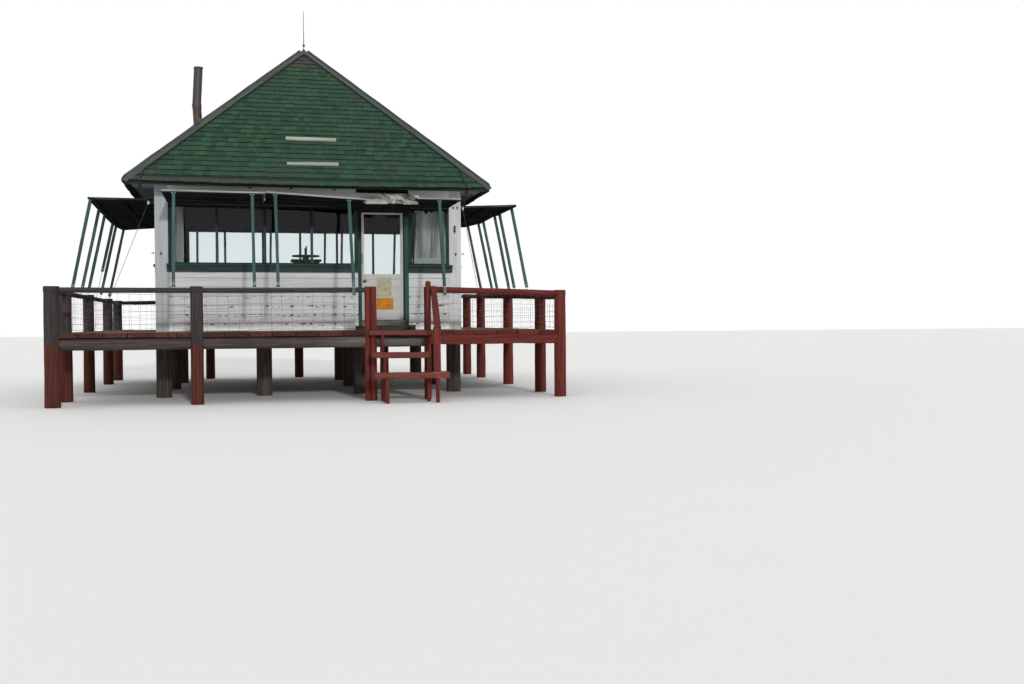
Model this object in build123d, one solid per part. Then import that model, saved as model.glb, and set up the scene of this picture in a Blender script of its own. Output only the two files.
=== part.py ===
from build123d import *

import os
from math import cos, radians, sin, sqrt, tan

# Cabin: a square room of sixteen feet, with its walls and levels measured up from the deck's top
CABIN = 4880
WALL = 110
FLOOR_RISE = 160
FLOOR_THICK = 30
SIDING = 18
CORNER_BOARD = 200
SILL_BOTTOM = 945
SILL_TOP = 1073
SILL_THICK = 40
SILL_PROUD = 45
SILL_LEFT_EAR = 25
SILL_RIGHT_EAR = 50
APRON_THICK = 22
WINDOW_HEAD = 2030
CEILING_LEVEL = 2560
CEILING_THICK = 20

# Deck: its height over the lowest foot and its reach from each wall
DECK_TOP = 1050
DECK_FRONT = 1500
DECK_SIDE = 1270
DECK_BACK = 1160
PLANK_THICK = 70
PLANK_WIDTH = 305
PLANK_PITCH = 330
PLANK_PROUD = 50
WALL_GAP = 8

# Logs, poles and sawn members that carry the deck
POST_TOP_RADIUS = 95
POST_FOOT_RADIUS = 100
CORNER_POST_RADIUS = 112
CORNER_FOOT_RADIUS = 115
LOG_BEAM_RADIUS = 90
LOG_BEAM_SET_BACK = 50
OUTER_BEAM_RADIUS = 62
RED_BEAM_DEPTH = 145
RED_BEAM_WIDTH = 140
LEDGER_WIDTH = 60
LEDGER_DEPTH = 150
LEDGER_CLEAR = 5
SILL_BEAM_WIDTH = 200
SILL_BEAM_DEPTH = 200
JOIST_WIDTH = 60
JOIST_DEPTH = 150
JOIST_PITCH = 600
FOUNDATION_RADIUS = 120

# Rails: their thickness, the levels of their centre lines at both ends, and the posts' rise over them
RAIL_RADIUS = 38
RED_RAIL_RADIUS = 48
RAIL_LEVEL = 613
RED_RAIL_LEVELS = (622, 564)
LEFT_RAIL_LEVELS = (600, 560)
RIGHT_RAIL_LEVELS = (515, 695)
POST_OVER_RAIL = 52

# Where the posts stand, along the front and back and along each side from the front wall
FRONT_POST_X = -1745
SIDE_POST_Y = (-350, 2000, 4500)
BACK_POST_X = (-1850, 0, 1850)

# Stair: two poles at its left, a domed pole at its right, three treads
STAIR_LEFT = 718
STAIR_LEFT_RADIUS = 40
STAIR_SECOND_RADIUS = 50
STAIR_RIGHT = 1640
STAIR_RIGHT_RADIUS = 50
STAIR_DOME_RADIUS = 42
STAIR_DOME_RISE = 755
TREAD_DROPS = (0, 318, 608)
TREAD_THICKS = (70, 85, 85)
NOSING_DEPTH = 100
TREAD_DEPTH = 295
TREAD_ENDS = ((730, 1690), (745, 1616), (746, 1841))
UPRIGHT_LEFT = 905
UPRIGHT_RIGHTS = (1555, 1640)
UPRIGHT_WIDTH = 50
UPRIGHT_DEPTH = 60
NEWEL_LEFT = 1615
NEWEL_INSET = 40
NEWEL_WIDTH = 100
NEWEL_RISE = 60
HANDRAIL_DEPTH = 90
HANDRAIL_WIDTH = 70
HANDRAIL_TOP = (1718, 640)
HANDRAIL_FOOT = (1682, 20)
HANDRAIL_INSET = 60

# Doorway, its leaf and fittings
DOOR_LEFT = 776
DOOR_RIGHT = 1490
DOOR_HEAD = 1945
JAMB_LEFT = 48
JAMB_RIGHT = 70
DOOR_GAP = 5
DOOR_THICK = 40
DOOR_STILE = 52
DOOR_GLASS_BOTTOM = 921
DOOR_GLASS_TOP = 1906
STOP_WIDTH = 14
STOP_THICK = 20
THRESHOLD_PROUD = 30
GLASS_THICK = 4
KNOB_LEVEL = 815
KNOB_INSET = 62
KNOB_PROFILE = ((0, 0), (28, 0), (28, 4), (9, 6), (9, 26), (20, 32), (26, 42), (22, 54), (0, 58))
HINGE_LENGTH = 100
HINGE_BARREL = 9
HINGE_PIN = 5
HINGE_CLEAR = 0.3
HINGE_FLAP = 3
HINGE_REACH = 36
HINGE_LEVELS = (400, 1100, 1800)
STEP_THICK = 75
STEP_DEPTH = 250
STEP_LEFT_EAR = 99
STEP_RIGHT_EAR = 138

# Windows
FRAME_THICK = 50
FRAME_SET_BACK = 15
FRAME_WIDTH = 55
FRAME_FOOT = 22
MULLION = 44
FRONT_BAYS = 4
SIDE_BAYS = 6

# Roof: pitch, overhang and covering
ROOF_PITCH = 44.4
ROOF_THICK = 50
EAVE_LEVEL = 2260
OVERHANG = 405
SOFFIT_THICK = 15
SOFFIT_RISE = 45
SOFFIT_GAP = 3
HIP_BOARD = 120
HIP_THICK = 22
PEAK_HALF = 75
CLEAT_LENGTH = 840
CLEAT_WIDTH = 75
CLEAT_THICK = 40
CLEAT_LEVELS = (2692, 3174)

# Stovepipe on the left slope, near the front hip: its distances in from the left and front walls
PIPE_IN = 660
PIPE_Y = 1000
PIPE_RADIUS = 72
PIPE_WALL = 3
PIPE_TOP = 4395
PIPE_FOOT = 200
PIPE_PLUG = 250
PIPE_JOINT = 3770
PIPE_JOINT_ENDS = (60, 30)
PIPE_JOINT_PROUD = 5
PIPE_RIM = 30
PIPE_RIM_PROUD = 4
FLASHING_RADIUS = 210
FLASHING_COLLAR = 8
FLASHING_RISE = 160
FLASHING_HEIGHT = 420

# Lightning rod and its cables
ROD_HEIGHT = 690
ROD_RADIUS = 8
ROD_BALL_RADIUS = 24
ROD_BALL_LEVEL = 60
ROD_CAP_CLEAR = 2
ROD_CAP_DROP = 12
ROD_CAP_TOP = 24
PEAK_CUT = 1000
CABLE_RADIUS = 7
CABLE_TURN = 2500
CABLE_PEAK_GAP = 15
CABLE_OFF_BOARD = 2
CABLE_LIFT = 0.3
CABLE_DROP = 20
BRACKET_OUT = 30
BRACKET_PROUD = 25
BRACKET_DROP = 10

# Shutters: three to a side, each with its own rise and lean in degrees, propped up on struts
SHUTTER_SPAN = 4520
SHUTTER_GAP = 12
SHUTTER_THICK = 38
SHUTTER_REACH = 1010
SHUTTER_LEVEL = 2052
FRONT_TILTS = ((2.4, 0.3), (0.6, 3.0), (0.2, 0.3))
RIGHT_TILTS = ((2.6, 0.65), (2.5, 1.3), (3.6, -2.2))
BACK_TILTS = ((0.8, 0), (0.8, 0), (0.8, 0))
LEFT_TILTS = ((-4.6, 1.0), (-3.6, -2.8), (0.5, -2.8))

# The broken front shutter: where its whole part starts, its sagging boards and its loose ones
WHOLE_FROM = 1563
SAGGING_BOARDS = ((762, 1095, 5.0), (1360, 1553, 4.5))
LOOSE_BOARDS = (((1070, 2225), (1225, 1070, 2050), 180), ((1370, 2200), (1500, 1000, 2085), 90))
LOOSE_THICK = 30

# Struts: each one's place along its side, and how far its wood stops over the rail at a thin rod
FRONT_STRUTS = (((-2083, 15), (-946, 15)), ((-604, 15),), ())
LAPPED_STRUTS = (505, 1915)
RIGHT_STRUTS = (((-2040, 110), (-1110, 110)), ((-680, 60), (320, 60)), ((790, 60), (1860, 60)))
BACK_STRUTS = (((-2079, 60), (-934, 60)), ((-572, 60), (572, 60)), ((934, 60), (2079, 60)))
LEFT_STRUTS = (((-2180, 60), (-1000, 60)), ((-510, 470), (560, 60)), ((1260, 60), (2225, 60)))
STRUT_DRIFT = 20
STRUT_WIDTH = 48
STRUT_ROD_RADIUS = 7
STRUT_EDGE = 45
LAP_BITE = 5
LAP_LENGTH = 60

# Fire finder and its stand in the middle of the room
STAND_WIDTH = 460
STAND_HEIGHT = 1120
STAND_BOARD = 30
STAND_LIP = 40
FINDER_RADIUS = 250
FINDER_HUB = 60
FINDER_DISC = 25
SIGHT_WIDTH = 24
SIGHT_THICK = 12
SIGHT_HEIGHT = 155

# Curtains inside the front windows: their width, thickness and rise over the window head
CURTAIN_WIDTH = 410
LEFT_CURTAIN_WIDTH = 230
CURTAIN_THICK = 12
CURTAIN_RISE = 40

# Places worked out from the sizes above
DOOR_SET_BACK = WALL - DOOR_THICK
HALF = CABIN / 2
EDGE_X = HALF + DECK_SIDE
CORNER_SHIFT = CORNER_FOOT_RADIUS - POST_FOOT_RADIUS
STAIR_FRONT = DECK_FRONT + PLANK_PROUD + NOSING_DEPTH + 2 * TREAD_DEPTH
FOOTPRINT_BACK = CABIN + DECK_BACK + POST_FOOT_RADIUS
FRONT = (STAIR_FRONT - FOOTPRINT_BACK) / 2
BACK = FRONT + CABIN
MIDDLE = FRONT + HALF
PIPE_X = PIPE_IN - HALF
POST_Y = FRONT - DECK_FRONT
BACK_POST_Y = BACK + DECK_BACK
BEAM_TOP = DECK_TOP - PLANK_THICK
FLOOR_TOP = DECK_TOP + FLOOR_RISE
JOIST_BOTTOM = FLOOR_TOP - FLOOR_THICK - JOIST_DEPTH
SLOPE = tan(radians(ROOF_PITCH))
ROOF_DROP = ROOF_THICK / cos(radians(ROOF_PITCH))
EAVE_HALF = HALF + OVERHANG
EAVE = DECK_TOP + EAVE_LEVEL
WALL_TOP = EAVE + OVERHANG * SLOPE
APEX = EAVE + ROOF_DROP + EAVE_HALF * SLOPE
EPS = 1


def block(x0, x1, y0, y1, z0, z1):
    """A rectangular solid between two opposite corners."""
    low = (min(x0, x1), min(y0, y1), min(z0, z1))
    size = (abs(x1 - x0), abs(y1 - y0), abs(z1 - z0))
    return Pos(*low) * Box(*size, align=(Align.MIN, Align.MIN, Align.MIN))


def upright(x, y, z0, z1, foot_radius, top_radius):
    """A round post, tapered where its two radii differ."""
    stand = (Align.CENTER, Align.CENTER, Align.MIN)
    if foot_radius == top_radius:
        return Pos(x, y, z0) * Cylinder(foot_radius, z1 - z0, align=stand)
    return Pos(x, y, z0) * Cone(foot_radius, top_radius, z1 - z0, align=stand)


def pole(start, end, radius):
    """A round pole between two points."""
    start = Vector(*start)
    run = Vector(*end) - start
    return extrude(Plane(origin=start, z_dir=run) * Circle(radius), run.length)


def bar(start, end, width, depth, across):
    """A sawn bar between two points, with its width along the given direction."""
    start = Vector(*start)
    run = Vector(*end) - start
    return extrude(Plane(origin=start, x_dir=across, z_dir=run) * Rectangle(width, depth), run.length)


def fuse(shapes):
    """Join shapes that belong to one piece."""
    joined = shapes[0]
    for shape in shapes[1:]:
        joined = joined + shape
    return joined


def trim(shape, tools):
    """Cope one piece round the others that it meets."""
    box = shape.bounding_box()
    for tool in tools:
        other = tool.bounding_box()
        apart = (
            box.min.X > other.max.X or other.min.X > box.max.X
            or box.min.Y > other.max.Y or other.min.Y > box.max.Y
            or box.min.Z > other.max.Z or other.min.Z > box.max.Z
        )
        if not apart:
            shape = shape - tool
    return shape


def round_about(shape, quarter):
    """Turn a piece of the front side to another side of the square cabin."""
    return Pos(0, MIDDLE, 0) * Rot(0, 0, 90 * quarter) * Pos(0, -MIDDLE, 0) * shape


def between(levels, start, end, place):
    """A level that changes evenly from a line's start to its end."""
    return levels[0] + (levels[1] - levels[0]) * (place - start) / (end - start)


def post_top(level):
    """The top of a post by a rail with a given level."""
    return DECK_TOP + level + POST_OVER_RAIL


def deck_posts():
    """The log posts along the deck's edge, which run on up to carry the rails."""
    top = post_top(RAIL_LEVEL)
    corner = upright(-EDGE_X, POST_Y, 0, top, CORNER_FOOT_RADIUS, CORNER_POST_RADIUS)
    places = [
        (FRONT_POST_X, POST_Y, RAIL_LEVEL),
        (EDGE_X + CORNER_SHIFT, POST_Y, RED_RAIL_LEVELS[1]),
    ]
    for x, levels in ((-EDGE_X, LEFT_RAIL_LEVELS), (EDGE_X, RIGHT_RAIL_LEVELS)):
        for y in [FRONT + place for place in SIDE_POST_Y] + [BACK_POST_Y]:
            places.append((x, y, between(levels, POST_Y, BACK_POST_Y, y)))
    back_levels = (LEFT_RAIL_LEVELS[1], RIGHT_RAIL_LEVELS[1])
    places += [(x, BACK_POST_Y, between(back_levels, -EDGE_X, EDGE_X, x)) for x in BACK_POST_X]
    posts = [corner]
    for x, y, level in places:
        posts.append(upright(x, y, 0, post_top(level), POST_FOOT_RADIUS, POST_TOP_RADIUS))
    return posts


def stair_posts():
    """Two poles at the stair's left, and at its right a domed pole with a plain one behind it."""
    top = post_top(RAIL_LEVEL)
    second = STAIR_LEFT + STAIR_LEFT_RADIUS + STAIR_SECOND_RADIUS
    left = fuse([
        upright(STAIR_LEFT, POST_Y, 0, top, STAIR_LEFT_RADIUS, STAIR_LEFT_RADIUS),
        upright(second - EPS, POST_Y, 0, top, STAIR_SECOND_RADIUS, STAIR_SECOND_RADIUS),
    ])
    behind = POST_Y + STAIR_RIGHT_RADIUS + STAIR_DOME_RADIUS - EPS
    dome = DECK_TOP + STAIR_DOME_RISE - STAIR_DOME_RADIUS
    right = fuse([
        upright(STAIR_RIGHT, behind, 0, top, STAIR_RIGHT_RADIUS, STAIR_RIGHT_RADIUS),
        upright(STAIR_RIGHT, POST_Y, 0, dome, STAIR_DOME_RADIUS, STAIR_DOME_RADIUS),
        Pos(STAIR_RIGHT, POST_Y, dome) * Sphere(STAIR_DOME_RADIUS),
    ])
    return [left, right]


def foundation_posts():
    """Short log posts under the cabin's sill beams."""
    top = JOIST_BOTTOM - SILL_BEAM_DEPTH
    rows = sill_beam_lines()
    inset = FOUNDATION_RADIUS + WALL
    columns = [FRONT + inset, MIDDLE, BACK - inset]
    return [upright(x, y, 0, top, FOUNDATION_RADIUS, FOUNDATION_RADIUS) for x in rows for y in columns]


def sill_beam_lines():
    """The centre lines of the sill beams that run from the front wall to the back wall."""
    outer = HALF - SILL_BEAM_WIDTH / 2
    return [-outer, -outer / 3, outer / 3, outer]


def cabin_sills():
    """Sill beams that carry the floor joists and the walls."""
    half = SILL_BEAM_WIDTH / 2
    low = JOIST_BOTTOM - SILL_BEAM_DEPTH
    return [block(x - half, x + half, FRONT, BACK, low, JOIST_BOTTOM) for x in sill_beam_lines()]


def floor_joists():
    """Joists from side to side on the sill beams."""
    span = HALF - WALL
    room = CABIN - 2 * WALL - JOIST_WIDTH
    count = round(room / JOIST_PITCH)
    first = FRONT + WALL
    joists = []
    for i in range(count + 1):
        y = first + i * room / count
        joists.append(block(-span, span, y, y + JOIST_WIDTH, JOIST_BOTTOM, JOIST_BOTTOM + JOIST_DEPTH))
    return joists


def cabin_floor():
    """The floor, from wall to wall."""
    span = HALF - WALL
    return block(-span, span, FRONT + WALL, BACK - WALL, FLOOR_TOP - FLOOR_THICK, FLOOR_TOP)


def front_beams(posts):
    """The rim beam before the deck: a brown log at the left, a red sawn beam at the right."""
    level = BEAM_TOP - LOG_BEAM_RADIUS
    y = POST_Y + LOG_BEAM_SET_BACK
    log = pole((-EDGE_X, y, level), (STAIR_RIGHT, y, level), LOG_BEAM_RADIUS)
    half = RED_BEAM_WIDTH / 2
    red = block(STAIR_RIGHT, EDGE_X, POST_Y - half, POST_Y + half, BEAM_TOP - RED_BEAM_DEPTH, BEAM_TOP)
    return trim(log, posts), trim(red, posts)


def outer_beams(posts, front):
    """Log rim beams along the sides and the back."""
    level = BEAM_TOP - OUTER_BEAM_RADIUS
    runs = [((side * EDGE_X, POST_Y, level), (side * EDGE_X, BACK_POST_Y, level)) for side in (-1, 1)]
    runs.append(((-EDGE_X, BACK_POST_Y, level), (EDGE_X, BACK_POST_Y, level)))
    beams = []
    for start, end in runs:
        beams += solids_of(trim(pole(start, end, OUTER_BEAM_RADIUS), posts + front))
    return beams


def deck_ledgers(outer):
    """Ledgers against the sill beams, which carry the planks' inner ends."""
    low = BEAM_TOP - LEDGER_DEPTH
    front = block(-EDGE_X, EDGE_X, FRONT - LEDGER_WIDTH, FRONT, low, BEAM_TOP)
    back = block(-EDGE_X, EDGE_X, BACK, BACK + LEDGER_WIDTH, low, BEAM_TOP)
    ledgers = [trim(front, outer), trim(back, outer)]
    for side in (-1, 1):
        inner = side * HALF
        y0, y1 = FRONT + LEDGER_CLEAR, BACK - LEDGER_CLEAR
        ledgers.append(block(inner, inner + side * LEDGER_WIDTH, y0, y1, low, BEAM_TOP))
    return ledgers


def plank_row(start, end, count):
    """The low and high edges of planks spread evenly over a length."""
    pitch = (end - start) / count
    gap = PLANK_PITCH - PLANK_WIDTH
    return [(start + i * pitch + gap / 2, start + (i + 1) * pitch - gap / 2) for i in range(count)]


def front_deck(posts):
    """Planks that run out from the front wall, with their ends showing before the beam."""
    count = round(2 * EDGE_X / PLANK_PITCH)
    planks = []
    for low, high in plank_row(-EDGE_X, EDGE_X, count):
        plank = block(low, high, POST_Y - PLANK_PROUD, FRONT - WALL_GAP, BEAM_TOP, DECK_TOP)
        planks.append(trim(plank, posts))
    return planks


def side_decks(posts):
    """Planks that run out from each side wall."""
    count = round(CABIN / PLANK_PITCH)
    planks = []
    for side in (-1, 1):
        inner = side * (HALF + WALL_GAP)
        outer = side * (EDGE_X + PLANK_PROUD)
        for low, high in plank_row(FRONT, BACK, count):
            planks.append(trim(block(inner, outer, low, high, BEAM_TOP, DECK_TOP), posts))
    return planks


def back_deck(posts):
    """Planks that run out from the back wall."""
    count = round(2 * EDGE_X / PLANK_PITCH)
    planks = []
    for low, high in plank_row(-EDGE_X, EDGE_X, count):
        plank = block(low, high, BACK + WALL_GAP, BACK_POST_Y + PLANK_PROUD, BEAM_TOP, DECK_TOP)
        planks.append(trim(plank, posts))
    return planks


def front_rails(posts):
    """The top rails before the deck: a thin brown pole at the left, a stout red one at the right."""
    level = DECK_TOP + RAIL_LEVEL
    near = DECK_TOP + RED_RAIL_LEVELS[0]
    far = DECK_TOP + RED_RAIL_LEVELS[1]
    left = pole((-EDGE_X, POST_Y, level), (STAIR_LEFT, POST_Y, level), RAIL_RADIUS)
    right = pole((STAIR_RIGHT, POST_Y, near), (EDGE_X, POST_Y, far), RED_RAIL_RADIUS)
    return trim(left, posts), trim(right, posts)


def outer_rail_lines():
    """The right, back and left rails as if before the front wall: ends, levels, reach and radius."""
    near = POST_Y - MIDDLE
    far = BACK_POST_Y - MIDDLE
    left_near, left_far = LEFT_RAIL_LEVELS
    right_near, right_far = RIGHT_RAIL_LEVELS
    return [
        ((near, far), (right_near, right_far), DECK_SIDE, RED_RAIL_RADIUS),
        ((-EDGE_X, EDGE_X), (right_far, left_far), DECK_BACK, RAIL_RADIUS),
        ((-far, -near), (left_far, left_near), DECK_SIDE, RAIL_RADIUS),
    ]


def outer_rail(ends, levels, reach, radius):
    """One of the outer rails, before it is turned to its own side."""
    y = FRONT - reach
    return pole((ends[0], y, DECK_TOP + levels[0]), (ends[1], y, DECK_TOP + levels[1]), radius)


def outer_rails(posts):
    """The top rails along the sides and the back."""
    rails = []
    for quarter, line in enumerate(outer_rail_lines(), 1):
        rails += solids_of(trim(round_about(outer_rail(*line), quarter), posts))
    return rails


def tread_places():
    """The front and back edge and the top of each tread, from the deck down."""
    edge = POST_Y - PLANK_PROUD
    places = [(edge - NOSING_DEPTH, edge, DECK_TOP)]
    for i, drop in enumerate(TREAD_DROPS[1:]):
        back = edge - NOSING_DEPTH - i * TREAD_DEPTH
        places.append((back - TREAD_DEPTH, back, DECK_TOP - drop))
    return places


def stair_treads(posts):
    """A nosing plank at the deck's edge and two treads, the lowest one longer to the right."""
    treads = []
    for (front, back, top), (left, right), thick in zip(tread_places(), TREAD_ENDS, TREAD_THICKS):
        treads.append(trim(block(left, right, front, back, top - thick, top), posts))
    return treads


def stair_frame():
    """Uprights under the treads' ends, and the newel that stands on the lowest tread."""
    pieces = []
    places = tread_places()
    rows = ((UPRIGHT_LEFT,), (UPRIGHT_LEFT, UPRIGHT_RIGHTS[0]), (UPRIGHT_LEFT, UPRIGHT_RIGHTS[1]))
    for (front, back, top), thick, row in zip(places, TREAD_THICKS, rows):
        for x in row:
            pieces.append(block(x, x + UPRIGHT_WIDTH, front, front + UPRIGHT_DEPTH, 0, top - thick))
    low_front, low_back, low_top = places[-1]
    y = low_front + NEWEL_INSET
    newel = block(NEWEL_LEFT, NEWEL_LEFT + NEWEL_WIDTH, y, y + NEWEL_WIDTH, low_top, DECK_TOP + NEWEL_RISE)
    return pieces + [newel]


def stair_handrail(posts, frame):
    """A plank from the head of the domed pole down to the newel."""
    low_front = tread_places()[-1][0]
    start = (HANDRAIL_TOP[0], POST_Y - HANDRAIL_INSET, DECK_TOP + HANDRAIL_TOP[1])
    end = (HANDRAIL_FOOT[0], low_front + HANDRAIL_INSET, DECK_TOP + HANDRAIL_FOOT[1])
    return trim(bar(start, end, HANDRAIL_WIDTH, HANDRAIL_DEPTH, (1, 0, 0)), posts + frame)


def wall_panel(x0, x1):
    """The front wall's lower part between two places, set back for its siding."""
    return block(x0, x1, FRONT + SIDING, FRONT + WALL, JOIST_BOTTOM, DECK_TOP + SILL_TOP - SILL_THICK)


def corner_posts():
    """L-shaped posts faced with wide boards, from the sill beams to the rafters."""
    reach = HALF - CORNER_BOARD
    outline = Polyline(
        (-HALF, -HALF), (-reach, -HALF), (-reach, -HALF + WALL), (-HALF + WALL, -HALF + WALL),
        (-HALF + WALL, -reach), (-HALF, -reach), close=True,
    )
    post = Pos(0, MIDDLE, JOIST_BOTTOM) * extrude(make_face(outline), WALL_TOP - JOIST_BOTTOM)
    return [round_about(post, quarter) for quarter in range(4)]


def wall_heads():
    """The walls over the windows and the door, up to the roof's underside."""
    reach = HALF - CORNER_BOARD
    head = block(-reach, reach, FRONT, FRONT + WALL, DECK_TOP + WINDOW_HEAD, WALL_TOP)
    return [round_about(head, quarter) for quarter in range(4)]


def ceiling():
    """A boarded ceiling between the walls."""
    span = HALF - WALL
    low = DECK_TOP + CEILING_LEVEL
    return block(-span, span, FRONT + WALL, BACK - WALL, low, low + CEILING_THICK)


def window_frame(x0, x1, bays):
    """A frame with evenly spaced mullions, between the sill and the wall head."""
    y0 = FRONT + FRAME_SET_BACK
    y1 = y0 + FRAME_THICK
    low = DECK_TOP + SILL_TOP
    high = DECK_TOP + WINDOW_HEAD
    frame = block(x0, x1, y0, y1, low, high)
    pitch = (x1 - x0) / bays
    for i in range(bays):
        left = x0 + i * pitch + (FRAME_WIDTH if i == 0 else MULLION / 2)
        right = x0 + (i + 1) * pitch - (FRAME_WIDTH if i == bays - 1 else MULLION / 2)
        frame = frame - block(left, right, y0 - EPS, y1 + EPS, low + FRAME_FOOT, high - FRAME_WIDTH)
    return frame


def glass_sheet(x0, x1):
    """One sheet of glass against the inner side of a window frame."""
    y = FRONT + FRAME_SET_BACK + FRAME_THICK
    return block(x0, x1, y, y + GLASS_THICK, DECK_TOP + SILL_TOP, DECK_TOP + WINDOW_HEAD)


def window_sill(x0, x1, left_ear, right_ear):
    """A sill board that stands proud of the wall over its apron."""
    top = DECK_TOP + SILL_TOP
    board = block(x0, x1, FRONT, FRONT + WALL, top - SILL_THICK, top)
    low = DECK_TOP + SILL_BOTTOM
    x2 = x0 - left_ear
    x3 = x1 + right_ear
    lip = block(x2, x3, FRONT - SILL_PROUD, FRONT, top - SILL_THICK, top)
    apron = block(x2, x3, FRONT - APRON_THICK, FRONT, low, top - SILL_THICK)
    packing = block(x0, x1, FRONT, FRONT + SIDING, low, top - SILL_THICK)
    return fuse([board, lip, apron, packing])


def door_frame():
    """Jambs, head and threshold round the doorway, with stops that the leaf shuts against."""
    high = DECK_TOP + DOOR_HEAD
    top = DECK_TOP + WINDOW_HEAD
    y1 = FRONT + WALL
    left = block(DOOR_LEFT - JAMB_LEFT, DOOR_LEFT, FRONT, y1, JOIST_BOTTOM, top)
    right = block(DOOR_RIGHT, DOOR_RIGHT + JAMB_RIGHT, FRONT, y1, JOIST_BOTTOM, top)
    head = block(DOOR_LEFT, DOOR_RIGHT, FRONT, y1, high, top)
    threshold = block(DOOR_LEFT, DOOR_RIGHT, FRONT - THRESHOLD_PROUD, y1, DECK_TOP, FLOOR_TOP)
    stop_y = FRONT + DOOR_SET_BACK - DOOR_GAP
    stops = [
        block(DOOR_LEFT, DOOR_LEFT + STOP_WIDTH, stop_y - STOP_THICK, stop_y, FLOOR_TOP, high),
        block(DOOR_RIGHT - STOP_WIDTH, DOOR_RIGHT, stop_y - STOP_THICK, stop_y, FLOOR_TOP, high),
        block(DOOR_LEFT, DOOR_RIGHT, stop_y - STOP_THICK, stop_y, high - STOP_WIDTH, high),
    ]
    return fuse([left, right, head, threshold] + stops)


def door_opening():
    """The opening for the door's glass."""
    return (DOOR_LEFT + DOOR_GAP + DOOR_STILE, DOOR_RIGHT - DOOR_GAP - DOOR_STILE,
            DECK_TOP + DOOR_GLASS_BOTTOM, DECK_TOP + DOOR_GLASS_TOP)


def door_leaf():
    """The leaf, with a tall glazed opening over a plain lower panel."""
    y0 = FRONT + DOOR_SET_BACK
    y1 = y0 + DOOR_THICK
    leaf = block(DOOR_LEFT + DOOR_GAP, DOOR_RIGHT - DOOR_GAP, y0, y1, FLOOR_TOP + DOOR_GAP,
                 DECK_TOP + DOOR_HEAD - DOOR_GAP)
    left, right, low, high = door_opening()
    return leaf - block(left, right, y0 - EPS, y1 + EPS, low, high)


def door_glass():
    """The pane in the leaf."""
    left, right, low, high = door_opening()
    y = FRONT + DOOR_SET_BACK + (DOOR_THICK - GLASS_THICK) / 2
    return block(left, right, y, y + GLASS_THICK, low, high)


def door_knob():
    """A round knob on each side of the leaf, at its left edge."""
    x = DOOR_LEFT + DOOR_GAP + KNOB_INSET
    y0 = FRONT + DOOR_SET_BACK
    outline = Polyline(*KNOB_PROFILE, close=True)
    knob = revolve(Plane.XZ * make_face(outline), Axis.Z)
    outer = Pos(x, y0, DECK_TOP + KNOB_LEVEL) * Rot(90, 0, 0) * knob
    inner = Pos(x, y0 + DOOR_THICK, DECK_TOP + KNOB_LEVEL) * Rot(-90, 0, 0) * knob
    return [outer, inner]


def hinge_axis():
    """The hinges' line, just inside the room at the leaf's right edge."""
    return DOOR_RIGHT - DOOR_GAP / 2, FRONT + WALL + HINGE_BARREL


def hinge_flap(x0, x1, z0, z1):
    """A thin flap screwed to the inner face of the jamb or the leaf."""
    return block(x0, x1, FRONT + WALL, FRONT + WALL + HINGE_FLAP, z0, z1)


def hinge_parts():
    """Butt hinges: pins with outer knuckles on the jamb, and a middle knuckle on the leaf."""
    x, y = hinge_axis()
    third = HINGE_LENGTH / 3
    fixed = []
    moving = []
    for level in HINGE_LEVELS:
        low = DECK_TOP + level
        high = low + HINGE_LENGTH
        ends = ((low, low + third - HINGE_CLEAR), (high - third + HINGE_CLEAR, high))
        pieces = [upright(x, y, low, high, HINGE_PIN, HINGE_PIN)]
        for z0, z1 in ends:
            pieces.append(upright(x, y, z0, z1, HINGE_BARREL, HINGE_BARREL))
            pieces.append(hinge_flap(x, DOOR_RIGHT + HINGE_REACH, z0, z1))
        fixed.append(fuse(pieces))
        bore_radius = HINGE_PIN + HINGE_CLEAR
        knuckle = upright(x, y, low + third, high - third, HINGE_BARREL, HINGE_BARREL)
        flap = hinge_flap(x - HINGE_REACH, x, low + third, high - third)
        moving.append(knuckle + flap - upright(x, y, low, high, bore_radius, bore_radius))
    return fixed, moving


def door_step():
    """A thick plank on the deck before the door."""
    back = FRONT - THRESHOLD_PROUD
    return block(DOOR_LEFT - STEP_LEFT_EAR, DOOR_RIGHT + STEP_RIGHT_EAR, back - STEP_DEPTH, back,
                 DECK_TOP, DECK_TOP + STEP_THICK)


def roof_slope():
    """The front slope: a slab between the eave and the peak, mitred along both hips."""
    low = (MIDDLE - EAVE_HALF, EAVE)
    profile = Polyline(
        low, (low[0], low[1] + ROOF_DROP), (MIDDLE, APEX), (MIDDLE, APEX - ROOF_DROP), close=True,
    )
    slab = extrude(Plane.YZ * make_face(profile), EAVE_HALF, both=True)
    edge = MIDDLE - EAVE_HALF
    plan = Polyline((-EAVE_HALF, edge), (EAVE_HALF, edge), (0, MIDDLE), close=True)
    return slab & extrude(make_face(plan), APEX + ROOF_DROP)


def hip_caps():
    """Pairs of boards along the hips, each pair joined into one cap, clear of the peak."""
    width = HIP_BOARD * sqrt(1 + cos(radians(ROOF_PITCH)) ** 2)
    rise = HIP_THICK / cos(radians(ROOF_PITCH))
    start = (MIDDLE - EAVE_HALF, EAVE + ROOF_DROP)
    profile = Polyline(
        start, (start[0], start[1] + rise), (MIDDLE, APEX + rise), (MIDDLE, APEX), close=True,
    )
    slab = extrude(Plane.YZ * make_face(profile), EAVE_HALF, both=True)
    x, y = -EAVE_HALF, MIDDLE - EAVE_HALF
    peak_x, peak_y = -PEAK_HALF, MIDDLE - PEAK_HALF
    strip = Polyline(
        (x, y), (x + width, y), (peak_x + width / 2, peak_y - width / 2), (peak_x, peak_y), close=True,
    )
    front_left = slab & extrude(make_face(strip), APEX + rise)
    side_left = mirror(front_left, Plane(origin=(0, MIDDLE, 0), z_dir=(1, -1, 0)))
    cap = front_left + side_left
    return [round_about(cap, quarter) for quarter in range(4)]


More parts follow.
